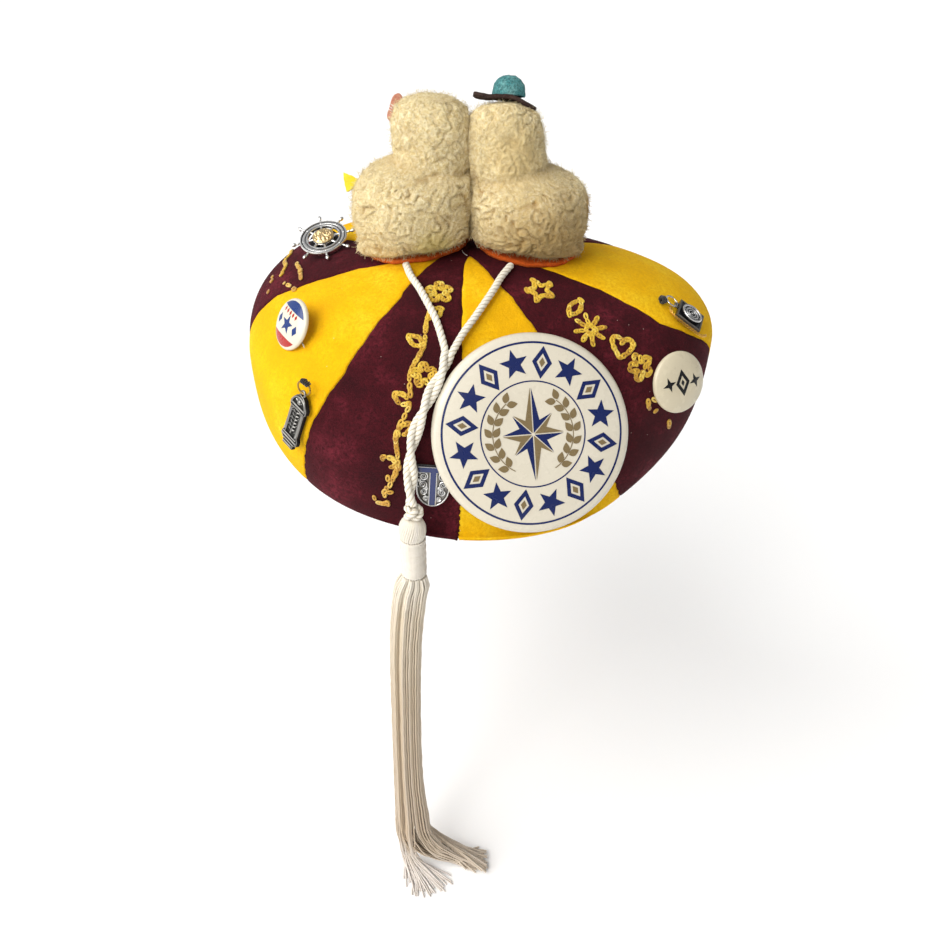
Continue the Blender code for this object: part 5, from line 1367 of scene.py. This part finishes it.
def gloss_material(name, base, aged, roughness=0.22):
    """Printed paper under clear film: an even colour, a little yellowed in patches, with fine wear."""
    material, tree, shader, at = start_material(name, base, roughness, Coat_Weight=0.35,
                                                Coat_Roughness=0.12, Specular_IOR_Level=0.35)
    skin = add(tree, "mix", add(tree, "MULTIPLY", add(tree, "noise", at, 30, 4, 0.6), 0.5),
               colour(base), colour(aged))
    skin = add(tree, "mix", add(tree, "MULTIPLY", add(tree, "ramp", add(tree, "noise", at, 420, 3),
                                                      stops=((0.60, "#000000"), (0.72, "#FFFFFF"))), 0.06),
               skin, colour("#6B5B45"))
    worn = add(tree, "MULTIPLY_ADD", add(tree, "noise", at, 90, 4, 0.7), 0.2, roughness - 0.05)
    tree.links.new(worn, shader.inputs["Roughness"])
    surface(tree, shader, skin, add(tree, "noise", at, 60, 2), 0.10 * MM, 0.15)
    return material


ivory_film = gloss_material("ivory_film_over_print", "#D3CCBC", "#C6BBA2")
cream_film = gloss_material("cream_film_over_print", "#CFC5AC", "#BDAF8E")
pale_film = gloss_material("pale_film_over_print", "#DAD4C4", "#C9BFA4")
navy_print = gloss_material("navy_print", "#0A1C55", "#081746")
bronze_print = gloss_material("bronze_print", "#7C6A48", "#66563A")
blue_print = gloss_material("blue_print", "#163474", "#122B63")
red_print = gloss_material("red_print", "#A81200", "#981000")
black_print = gloss_material("black_print", "#08090B", "#101012")
for name, film, slot in (("button_large", ivory_film, "ivory_enamel"),
                         ("button_small", pale_film, "banded_enamel"),
                         ("button_plain", cream_film, "white_enamel")):
    piece(name + "_shell", button_shell(name), film, slot, name)
print("three shells")


# %% Prints
def circle(radius, count=96):
    return [(radius * cos(a), radius * sin(a)) for a in circle_angles(count)]


LOZENGE = [(0, 1), (0.62, 0), (0, -1), (-0.62, 0)]
# up one side, down the other
LEAFLET_RUNS = ((1, np.linspace(0, 1, 8)), (-1, np.linspace(0.875, 0.125, 7)))
LEAFLET = [(0.5 * sin(pi * u ** 0.8) * side * 0.62, u) for side, run in LEAFLET_RUNS for u in run]
navy_shapes, bronze_shapes = [[circle(40.6), circle(39.7)], [circle(23.6), circle(23.0)]], []
for k in range(16):
    a = radians(22.5 * k + 11.25)
    x, y, turn = 31.6 * sin(a), 31.6 * cos(a), -22.5 * k - 11.25
    if k % 2:
        navy_shapes.append(placed(ray_star(5, 6.6, 2.8), x, y, turn))
    else:
        navy_shapes.append([placed(LOZENGE, x, y, turn, 7.2), placed(LOZENGE, x, y, turn, 3.9)])
        bronze_shapes.append(placed(LOZENGE, x, y, turn, 2.2))
for k in range(4):   # a compass star, each ray half navy and half bronze
    turn, far = -90 * k, 13.6 if k % 2 else 20.5
    navy_shapes.append(placed([(0.25, 0.6), (0.25, far), (3.6, 3.9)], 0, 0, turn))
    bronze_shapes.append(placed([(-0.25, 0.6), (-3.6, 3.9), (-0.25, far)], 0, 0, turn))
    navy_shapes.append(placed([(-0.2, 5.2), (-0.2, 12.2), (-2.5, 5.4)], 0, 0, turn - 45))
    bronze_shapes.append(placed([(0.2, 5.2), (2.5, 5.4), (0.2, 12.2)], 0, 0, turn - 45))
for side in (-1, 1):   # a sprig of pointed leaves to each side of the star
    for k in range(7):
        a = radians((90 + (k - 3) * 17) * side)
        for out, tilt in ((18.6, -34), (17.4, 34)):
            bronze_shapes.append(placed(LEAFLET, out * sin(a), out * cos(a),
                                        -degrees(a) + 90 * side + tilt * side, 5.0))
    arc = [radians(u * side) for u in np.linspace(38, 150, 24)]
    stem = [(18.2 * sin(a), 18.2 * cos(a)) for a in arc]
    bronze_shapes.append(stem + [(17.8 * sin(a), 17.8 * cos(a)) for a in arc[::-1]])
printed("button_large_navy_print", "button_large", navy_shapes, navy_print)
printed("button_large_bronze_print", "button_large", bronze_shapes, bronze_print, 0.09)


def cap(radius, low, high, count=24):
    """The part of a disc between two heights."""
    a, b = np.arcsin(np.clip((low / radius, high / radius), -1, 1))
    right = [(radius * cos(u), radius * sin(u)) for u in np.linspace(a, b, count)]
    return right + [(-x, y) for x, y in reversed(right) if abs(x) > 1e-6]


blue_shapes = [placed(cap(10.7, 6.4, 10.7), 0, 0, -8), placed(ray_star(5, 4.6, 1.9), 0.2, -0.4, -8)]
blue_shapes += [placed(LOZENGE, x, y, -8, 2.6) for x, y in ((6.9, -1.4), (-6.7, 0.5))]
printed("button_small_blue_print", "button_small", blue_shapes, blue_print)
red_shapes = [placed(LOZENGE, x, 5.0 - 0.14 * x, -8, 1.3) for x in (-5, -2.5, 0, 2.5, 5)]
printed("button_small_red_lozenges", "button_small", red_shapes, red_print)
printed("button_small_red_print", "button_small", [placed(cap(10.7, -10.7, -6.0), 0, 0, -8)], red_print)
nested = [placed(LOZENGE, 0, 0, size=size) for size in (6.4, 3.4, 1.6)]
stars = [placed(ray_star(4, 3.6, 1.3), x, y, 12) for x, y in ((-7.4, 0.6), (7.4, -0.6))]
printed("button_plain_black_print", "button_plain", [nested[:2], *stars, nested[2]], black_print)
print("prints:", len(navy_shapes) + len(bronze_shapes), "shapes on the large button")

# %% [markdown]
# ## Pins and charms
# The metal pieces are small castings and stampings. Each is built flat round its own middle, with its
# relief raised on it, and then moved to its CAD node's place. Silver plate has gone dull in the hollows,
# the pewter has blackened there, and the gold wash is thin on the high spots.

# %% Metals
def metal(name, bright, dull, roughness, hollows):
    """Polished high spots over a darker ground: hollows within 0.8 mm of other metal take the dull colour."""
    material, tree, shader, at = start_material(name, bright, roughness, Metallic=1.0)
    worn = add(tree, "ShaderNodeAmbientOcclusion", {"Distance": 0.8 * MM}, out="AO", samples=6)
    worn = add(tree, "ShaderNodeMapRange", worn, 0.40, 0.92, 1.0, 0.0)
    worn = add(tree, "ADD", add(tree, "MULTIPLY", worn, hollows),
               add(tree, "MULTIPLY", add(tree, "noise", at, 350, 3, 0.6), 0.35))
    worn = add(tree, "ShaderNodeClamp", worn)
    tree.links.new(add(tree, "MULTIPLY_ADD", worn, 0.25, roughness), shader.inputs["Roughness"])
    skin = add(tree, "mix", worn, colour(bright), colour(dull))
    surface(tree, shader, skin, add(tree, "noise", at, 700, 2), 0.06 * MM, 0.4)
    return material


silver_plate = metal("worn_silver_plate", "#F2F1EE", "#66656A", 0.22, 1.0)
dark_silver = metal("tarnished_silver", "#8E8A84", "#1D1B1B", 0.30, 1.0)
gold_wash = metal("gold_wash", "#F0D6A2", "#6E5026", 0.30, 0.9)
pewter = metal("rubbed_pewter", "#A5A39E", "#1A191A", 0.28, 1.0)
black_pewter = metal("blackened_pewter", "#3A3937", "#0D0D0D", 0.36, 1.0)
gold_plate = metal("gold_plate", "#F0BE5A", "#A06E22", 0.24, 0.8)
brass = metal("aged_brass", "#B8964E", "#4A3A20", 0.30, 0.7)
navy_enamel, tree, shader, at = start_material("navy_enamel", "#1A2A63", 0.15, Coat_Weight=0.5)
black_enamel, tree, shader, at = start_material("black_enamel", "#17161A", 0.25)
black_cotton, tree, shader, at = start_material("black_cotton_thread", "#1C1816", 0.8, Sheen_Weight=0.3)
surface(tree, shader, None, add(tree, "noise", at, 1800, 2), 0.15 * MM, 0.8)
white_cotton, tree, shader, at = start_material("white_cotton_thread", "#F1EEE6", 0.7, Sheen_Weight=0.3)


# %% Parts that the metal pieces are put together from
def slab(loops, low, high, edge=0.0):
    """A flat piece between outlines in mm, with its upper edges cut back by a small bevel."""
    bm = bmesh.new()
    filled(bm, loops, low * MM)
    made = bmesh.ops.extrude_face_region(bm, geom=bm.faces[:])
    for v in made["geom"]:
        if isinstance(v, bmesh.types.BMVert):
            v.co.z = high * MM
    bmesh.ops.recalc_face_normals(bm, faces=bm.faces)
    if edge:
        top = [e for e in bm.edges if min(v.co.z for v in e.verts) > (high - 0.001)
               * MM and len(e.link_faces) == 2 and abs(e.link_faces[0].normal.z
                                                       - e.link_faces[1].normal.z) > 0.5]
        bmesh.ops.bevel(bm, geom=top, offset=edge * MM, segments=2, profile=0.6, affect="EDGES")
    return bm


def lathe(profile, around=40):
    """A turned body from a profile in mm, from its top down its outer side."""
    bm = bmesh.new()
    mesh = revolved("turned", [(r * MM, z * MM) for r, z in profile], around)
    bm.from_mesh(mesh)
    bpy.data.meshes.remove(mesh)
    return bm


def wire(points, radius, closed=False, sides=10):
    """A round wire through points in mm; radius is one number or one for each point."""
    path = np.array(points, float)
    count = len(path)
    radii = np.broadcast_to(np.asarray(radius, float), (count,))
    ways = unit(np.roll(path, -1, 0) - np.roll(path, 1, 0) if closed else np.gradient(path, axis=0))
    side = np.cross(ways[0], (0.12, 0.31, 0.94))
    bm = bmesh.new()
    rings = []
    for at, way, r in zip(path, ways, radii):
        side = unit(side - way * (side @ way))
        up = np.cross(way, side)
        rings.append([bm.verts.new((at + r * (cos(2 * pi * j / sides) * side
                                              + sin(2 * pi * j / sides) * up)) * MM) for j in range(sides)])
    pairs = list(zip(rings, rings[1:] + (rings[:1] if closed else [])))
    for k, (low, high) in enumerate(pairs):
        slip = 0
        if closed and k == len(pairs) - 1:
            slip = min(range(sides), key=lambda n: (low[0].co - high[n].co).length)
        for j in range(sides):
            bm.faces.new((low[j], low[(j + 1) % sides], high[(j + 1 + slip) % sides],
                          high[(j + slip) % sides]))
    if not closed:
        bm.faces.new(rings[0][::-1])
        bm.faces.new(rings[-1])
    bmesh.ops.recalc_face_normals(bm, faces=bm.faces)
    return bm


def shifted(bm, x=0.0, y=0.0, z=0.0, turn=0.0, tip=None):
    """Moves a body by mm after a turn about Z, or after being laid along X when tip is given."""
    move, spin = Matrix.Translation(Vector((x, y, z)) * MM), Matrix.Rotation(radians(turn), 4, "Z")
    bm.transform(move @ spin if tip is None else spin @ move @ Matrix.Rotation(radians(tip), 4, "Y"))
    return bm


def fitted(name, place, material, slot, node, *parts):
    """Joins closed bodies, moves them to their place and links them as one piece."""
    joined = bmesh.new()
    for bm in parts:
        part = mesh_from(bm, "part")
        joined.from_mesh(part)
        bpy.data.meshes.remove(part)
    mesh = smoothed(mesh_from(joined, name))
    mesh.set_sharp_from_angle(angle=radians(38))
    mesh.transform(place)
    piece(name, mesh, material, slot, node)


def hoop(radius, thick, count, x=0.0, y=0.0, z=0.0):
    """A closed ring of round wire, in mm."""
    return wire([(x + radius * cos(a), y + radius * sin(a), z) for a in circle_angles(count)],
                thick, closed=True)


def bead(radius, height, around=16):
    """A small domed rivet head standing on z 0."""
    return lathe([(radius * sin(a), height * cos(a)) for a in np.linspace(0, pi / 2, 6)] + [(0, 0)], around)


print("metals:", [m.name for m in (silver_plate, dark_silver, gold_wash, pewter, brass)])

# %% Ship's-wheel pin
WHEEL_FACING = (-0.13, -0.33, 0.935), (-0.2, 0.95, 0.2)
WHEEL = seat_of("wheel_pin_frame", *WHEEL_FACING)
rim_profile = [(7.92, 0.2), (7.92, 1.45), (8.2, 1.8), (8.65, 1.75), (8.9, 1.0),
               (9.25, 0.95), (9.5, 1.5), (9.75, 1.6), (10.4, 1.6), (10.65, 1.5), (10.8, 0.95),
               (11.05, 1.0), (11.25, 1.75), (11.6, 1.8), (11.95, 1.4), (12.0, 0.5), (11.8, 0.0), (8.2, 0.0)]
rim = lathe(rim_profile[::-1] + [rim_profile[-1]], 120)
handle = [(0, 5.0), (0.35, 4.95), (0.70, 4.6), (0.92, 4.0), (0.95, 3.4),
          (0.78, 2.8), (0.50, 2.45), (0.48, 1.9), (0.62, 1.6), (0.62, 1.3),
          (0.45, 1.0), (0.45, 0.4), (0.62, 0.2), (0.62, -0.3), (0, -0.3)]
parts = [rim]
for k in range(8):
    parts.append(shifted(lathe(handle, 16), 11.5, 0, 0.95, 45 * k, 90))
    parts.append(shifted(lathe([(0, 8.3), (0.72, 8.3), (0.55, 7.6), (0.60, 6.4), (0.80, 5.0), (0, 5.0)],
                               14), 0, 0, 0.95, 45 * k, 90))
    parts.append(shifted(shifted(bead(0.55, 0.45), 10.3, 0, 1.3), turn=45 * k))
parts.append(lathe([(0, 1.5), (5.2, 1.5), (5.4, 1.3), (5.4, 0.3), (0, 0.3)], 40))
fitted("wheel_pin_casting", WHEEL, silver_plate, "silver_metal", "wheel_pin_frame", *parts)
BACKING = seat_of("wheel_pin_backing", *WHEEL_FACING)
fitted("wheel_pin_back_disc", BACKING, black_enamel, "black_enamel", "wheel_pin_backing",
       lathe([(0, 0.7), (7.3, 0.7), (7.3, 0), (0, 0)], 48))
nugget = lathe([(5.4 * sin(a) ** 0.8, 1.7 * cos(a) ** 1.3) for a in np.linspace(0.001, pi / 2, 22)]
               + [(5.2, -0.15), (0, -0.15)], 84)
for v in nugget.verts:
    if v.co.z > 0:
        grit = noise.noise(v.co * 1100) * 0.4 + noise.noise(v.co * 2300) * 0.25
        grit += abs(noise.noise(v.co * 520)) * 0.8
        v.co.z += (grit - 0.3) * MM * min(1.0, (5.4 * MM - hypot(v.co.x, v.co.y)) / (0.8 * MM))
HUB = seat_of("wheel_pin_hub", *WHEEL_FACING)
fitted("wheel_pin_nugget", HUB, gold_wash, "gold_metal", "wheel_pin_hub", nugget)
print("wheel pin made")


# %% Shield pin
def scroll(x, y, size, hand, turn, start=0.4, end=3.9):
    """A relief scroll: a wire that tapers as it winds in."""
    angles = np.linspace(start, end * pi, 40)
    radius = size * (1 - 0.80 * angles / (4 * pi)) ** 1.2
    spin = radians(turn)
    points = np.stack([x + radius * np.cos(hand * angles + spin), y + radius * np.sin(hand * angles + spin),
                       np.full(40, 1.35)], -1)
    return wire(points, np.linspace(0.42, 0.22, 40), sides=8)


CREST_FACING = (0.02, -0.985, 0.17), (0.07, 0, 1)
SHIELD = seat_of("crest_pin_shield", *CREST_FACING)
half, top, bottom, straight = 7.5, 10.25, -10.25, 11.54
round_from = top - straight
edge_line = [(-half, top), (-half, round_from)]
edge_line += [(half * cos(radians(a)), round_from + (round_from - bottom) * sin(radians(a)))
              for a in range(190, 351, 10)]
edge_line += [(half, round_from), (half, top)]
plate = slab([edge_line[::-1]], 0.0, 0.7, 0.15)
ridge = wire([(x * 0.955, y * 0.965 + 0.1, 0.9) for x, y in edge_line], 0.36, closed=True)
SCROLLS = (   # x, depth below the top, size, hand and turn, on each half
    (4.3, 5.4, 2.0, 1, 90), (4.6, 9.3, 1.9, -1, -60), (4.2, 13.0, 1.8, 1, 120), (2.9, 16.3, 1.2, -1, 0),
    (6.0, 7.4, 0.8, 1, 0), (2.8, 11.2, 0.8, -1, 40))
GRAINS = ((2.5, 4.6), (6.4, 10.6), (5.9, 4.3), (2.4, 12.6), (3.6, 7.0), (6.4, 5.6))
curls, grains = [], []
for side in (-1, 1):
    curls += [scroll(side * x, top - down, size, side * hand, turn)
              for x, down, size, hand, turn in SCROLLS]
    grains += [shifted(bead(0.34, 0.3, 10), side * x, top - down, 1.0) for x, down in GRAINS]
fitted("crest_pin_ground", SHIELD, dark_silver, "silver_metal", "crest_pin_shield", plate)
fitted("crest_pin_scrolls", SHIELD, silver_plate, "silver_metal", "crest_pin_shield",
       ridge, *curls, *grains)
BAND = seat_of("crest_pin_band", *CREST_FACING)
band_top, band_low = 9.4, -9.4
tee = [(-6.9, band_top), (-6.9, band_top - 2.6), (-1.5, band_top - 2.6),
       (-1.5, band_low), (1.5, band_low), (1.5, band_top - 2.6), (6.9, band_top - 2.6), (6.9, band_top)]
fitted("crest_pin_enamel", BAND, navy_enamel, "blue_enamel", "crest_pin_band", slab([tee], 0.0, 0.4, 0.12))
line = [(x * 0.985, y * 0.985, 0.38) for x, y in tee]
fitted("crest_pin_fillet", BAND, silver_plate, None, "crest_pin_band",
       wire(line, 0.24, closed=True, sides=8))
print("shield pin made")

# %% Left charm
CHARM_OUT, CHARM_UP = (-0.70, -0.66, 0.26), (0.20, -0.12, 1.0)
PLAQUE = seat_of("charm_left_plaque", CHARM_OUT, CHARM_UP)
w, h = 6.0, 14.0
right = [(w * 0.62, -h), (w * 0.62, -h + 2.0), (w, -h + 3.2), (w, -h + 5.4),
         (w * 0.84, -h + 6.6), (w * 0.84, h - 8.2), (w, h - 7.2), (w, h - 5.4),
         (w * 0.78, h - 3.4), (w * 0.5, h - 1.4), (w * 0.2, h - 0.3)]
EYE_RISE = 1.05   # the eye stands over the plaque, so the plaque's middle is this much below the node's
outline = [(x, y) for x, y in right + [(-x, y) for x, y in reversed(right)]]
inset = [(x * 0.62, y * 0.52 - 0.4) for x, y in [(w, -h), (w, h * 0.72), (w * 0.6, h * 0.92),
                                                 (0, h), (-w * 0.6, h * 0.92), (-w, h * 0.72), (-w, -h)]]
parts = [wire([(x, y, 2.15) for x, y in inset], 0.42, closed=True, sides=8),
         wire([(x * 0.95, y * 0.98, 2.0) for x, y in outline], 0.30, closed=True, sides=8)]
for side in (-1, 1):   # a column with rings to each side of the panel
    column = lathe([(0, 7.6), (0.62, 7.5), (0.72, 7.1), (0.5, 6.8), (0.44, 0.6),
                    (0.60, -4.6), (0.5, -5.0), (0.78, -5.4), (0.78, -6.0), (0, -6.1)], 14)
    column.transform(Matrix.Translation(Vector((side * 4.35, -0.6, 2.2)) * MM)
                     @ Matrix.Rotation(radians(-90), 4, "X"))
    parts.append(column)
for y, wide, thick in ((-h + 4.3, 5.7, 0.55), (-h + 5.6, 5.0, 0.40), (-h + 1.2, 3.3, 0.5),
                       (-h + 2.6, 4.4, 0.38), (h - 6.3, 5.6, 0.5), (h - 7.8, 4.8, 0.35)):
    parts.append(wire([(x, y, 2.2) for x in np.linspace(-wide, wide, 8)], thick, sides=10))
arch = [(5.0 * cos(a), h - 6.0 + 4.4 * sin(a), 2.2) for a in np.linspace(0, pi, 20)]
parts += [wire(arch, 0.48, sides=10), shifted(bead(1.3, 0.9, 20), 0, h - 4.0, 2.0)]
for k in range(5):   # palmette under the arch
    a = radians(30 + 30 * k)
    parts.append(wire([(1.5 * cos(a), h - 4.6 + 1.5 * sin(a), 2.15),
                       (2.9 * cos(a), h - 4.6 + 2.8 * sin(a), 2.2)], (0.3, 0.42), sides=8))
# the panel's relief: a branching sprig with berries
parts.append(wire([(0.5 * sin(u * 3), -6.6 + 11.6 * u, 2.1) for u in np.linspace(0, 1, 14)],
                  np.linspace(0.5, 0.25, 14), sides=8))
for k in range(6):
    y, side = -5.4 + 1.9 * k, (-1) ** k
    for hand in (-1, 1):
        parts.append(wire([(hand * 0.2, y, 2.1), (hand * 1.2, y + 0.9, 2.35), (hand * 2.3, y + 1.2, 2.1)],
                          (0.2, 0.5, 0.2), sides=8))
    parts.append(shifted(bead(0.42, 0.5, 10), side * 2.7, y + 0.3, 2.0))
parts.append(hoop(1.5, 0.5, 24, 0, h + 0.6, 1.5))
place = PLAQUE @ Matrix.Translation((0, -EYE_RISE * MM, 0))
fitted("charm_left_ground", place, black_pewter, "pewter_metal", "charm_left_plaque",
       slab([outline], 0.0, 2.1, 0.3))
fitted("charm_left_relief", place, pewter, "pewter_metal", "charm_left_plaque", *parts)


def box_middle(node):
    low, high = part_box(node)
    return Vector([(a + b) / 2 for a, b in zip(low, high)])


def jump_ring(node, facing, radius, thick, gap, material, slot):
    """A jump ring round a node's middle, with a cut that does not quite close."""
    turns = np.linspace(gap / 2, 2 * pi - gap / 2, 48)
    ring = wire([(radius * cos(a), radius * sin(a), 0.12 * sin(a / 2)) for a in turns], thick)
    fitted(node + "_wire", Matrix.Translation(box_middle(node)) @ turn_to(facing),
           material, slot, node, ring)


LEFT_RING, SWUNG, hung = 3.4, Vector((-0.40, -0.82, 0.40)), Vector(CHARM_UP).normalized()
SWUNG -= hung * SWUNG.dot(hung)
jump_ring("charm_left_ring", SWUNG, LEFT_RING, 0.45, 0.12, brass, "brass_metal")
tie = []
for k in range(6):   # the dark thread that ties the ring to the felt
    a0, reach = 0.9 + 0.22 * k, 1.1 + 0.25 * sin(2.4 * k)
    tie.append(wire([((LEFT_RING + reach * cos(b)) * cos(a0), (LEFT_RING + reach * cos(b)) * sin(a0),
                      reach * sin(b)) for b in circle_angles(13)], 0.34, closed=True, sides=8))
place = Matrix.Translation(box_middle("charm_left_ring")) @ turn_to(SWUNG, CHARM_UP)
fitted("charm_left_tie", place, black_cotton, "black_thread", "charm_left_ring", *tie)
print("left charm made")

# %% Right charm
OUT = Vector((0.50, -0.24, 0.83)).normalized()
ALONG = Vector((0.84, -0.22, -0.50))
ALONG = (ALONG - OUT * ALONG.dot(OUT)).normalized()
UP = OUT.cross(ALONG)
DISC = seat_of("charm_right_disc", OUT, UP)
SPOT = DISC.translation - OUT * 1.2 * MM   # the middle of the plate
PLATE = Matrix.Translation(SPOT - OUT * 0.9 * MM) @ turn_to(OUT, UP)
square = [(-7, -7), (7, -7), (7, 7), (-7, 7)]
fitted("charm_right_tray", PLATE, dark_silver, "silver_metal", "charm_right_plate",
       slab([square, [(x * 0.86, y * 0.86) for x, y in square[::-1]]], 0.0, 1.8, 0.2),
       hoop(1.5, 0.5, 24, -7.5, 1, 0.9))
fitted("charm_right_inlay", PLATE, black_enamel, "black_enamel", "charm_right_plate",
       slab([[(x * 0.87, y * 0.87) for x, y in square]], 0.1, 1.45))
ground = lathe([(0, 0.9), (0.9, 0.85), (1.5, 0.5), (2.2, 0.7), (5.3, 0.7),
                (5.6, 0.5), (5.6, 0.0), (0, 0.0)], 56)
fitted("charm_right_ground", DISC, black_enamel, None, "charm_right_disc", ground)
HOOPS = ((5.05, 0.85, 0.52), (3.25, 0.75, 0.42), (1.95, 0.75, 0.28))   # radius, height and thickness
hoops = [hoop(radius, thick, 56, z=z) for radius, z, thick in HOOPS]
dots = [shifted(bead(0.30, 0.28, 10), 4.15 * cos(2 * pi * k / 14), 4.15 * sin(2 * pi * k / 14), 0.68)
        for k in range(14)]
fitted("charm_right_rings", DISC, silver_plate, "silver_metal", "charm_right_disc",
       *hoops, *dots, shifted(bead(0.55, 0.4), 0, 0, 0.8))
jump_ring("charm_right_ring", OUT, 3.2, 0.40, 0.15, silver_plate, "silver_metal")
knot_at, knot_out = box_middle("charm_right_thread_knot"), Vector(felt_normal(76.8, 0.585))
loops = []
noise.seed_set(6)
for k in range(9):   # loops of black thread wound over one another
    axis = Vector((noise.random() - 0.5, noise.random() - 0.5, 0.4 * noise.random())).normalized()
    turn = axis.to_track_quat("Z", "Y").to_matrix()
    loops.append(wire([turn @ Vector(((1.75 + 0.3 * sin(5 * a + k)) * cos(a),
                                      (1.5 + 0.25 * cos(4 * a)) * sin(a), 0.25 * sin(3 * a + k)))
                       for a in circle_angles(28)], 0.40, closed=True, sides=8))
fitted("charm_right_knot_loops", Matrix.Translation(knot_at) @ turn_to(knot_out, UP),
       black_cotton, "black_thread", "charm_right_thread_knot", *loops)
CHAIN_WAY = (   # in mm along the plate and across it
    (-11.0, -3.7), (-10.3, -6.2), (-7.8, -8.4), (-3.0, -8.9), (3.5, -8.9), (8.4, -8.4), (10.9, -5.6))
route = smooth_curve([np.array(SPOT + (ALONG * x + UP * y) * MM) / MM for x, y in CHAIN_WAY], 0.85)
links = []
for k in range(len(route) - 1):
    at, way = Vector((route[k] + route[k + 1]) / 2), Vector(route[k + 1] - route[k]).normalized()
    side = way.cross(OUT).normalized()
    tilt = (side + OUT * (1 if k % 2 else -1)).normalized()
    links.append(wire([at + way * 0.78 * cos(a) + tilt * 0.48 * sin(a) for a in circle_angles(12)],
                      0.27, closed=True, sides=6))
fitted("charm_right_links", Matrix.Identity(4), gold_plate, "gold_metal", "charm_right_chain", *links)
print("right charm made,", len(links), "links")

# %% Loose ends
# A stray white thread lies over the crown's middle, the tip of the small button's pin shows past its
# rim, and three white tacks hold the salmon scrap.
stray = free_line([(-20, 0.035), (-12, 0.05), (2.5, 0.075)], 0.8 * MM, 0.5 * MM)[0] / MM
fitted("stray_thread", Matrix.Identity(4), white_cotton, None, "gore_front_left_maroon",
       wire(stray, 0.16, sides=6))
pin = seat_of("button_small", BUTTONS["button_small"][3])
fitted("button_small_pin_tip", pin, silver_plate, None, "button_small",
       wire([(9.5, -4.4, -0.2), (12.3, -5.2, -0.1), (14.2, -5.8, 0.2)], (0.34, 0.34, 0.12), sides=8))
tacks = [wire([(x - 1.0, y, 0.7), (x, y - 0.2, 1.0), (x + 1.1, y - 0.5, 0.7)], 0.16, sides=6)
         for x, y in ((-1.6, 0.9), (-1.9, -0.3), (-1.5, -1.6))]
fitted("felt_scrap_salmon_tacks", SALMON_PLACE, white_cotton, None, "felt_scrap_salmon", *tacks)
print("loose ends made")
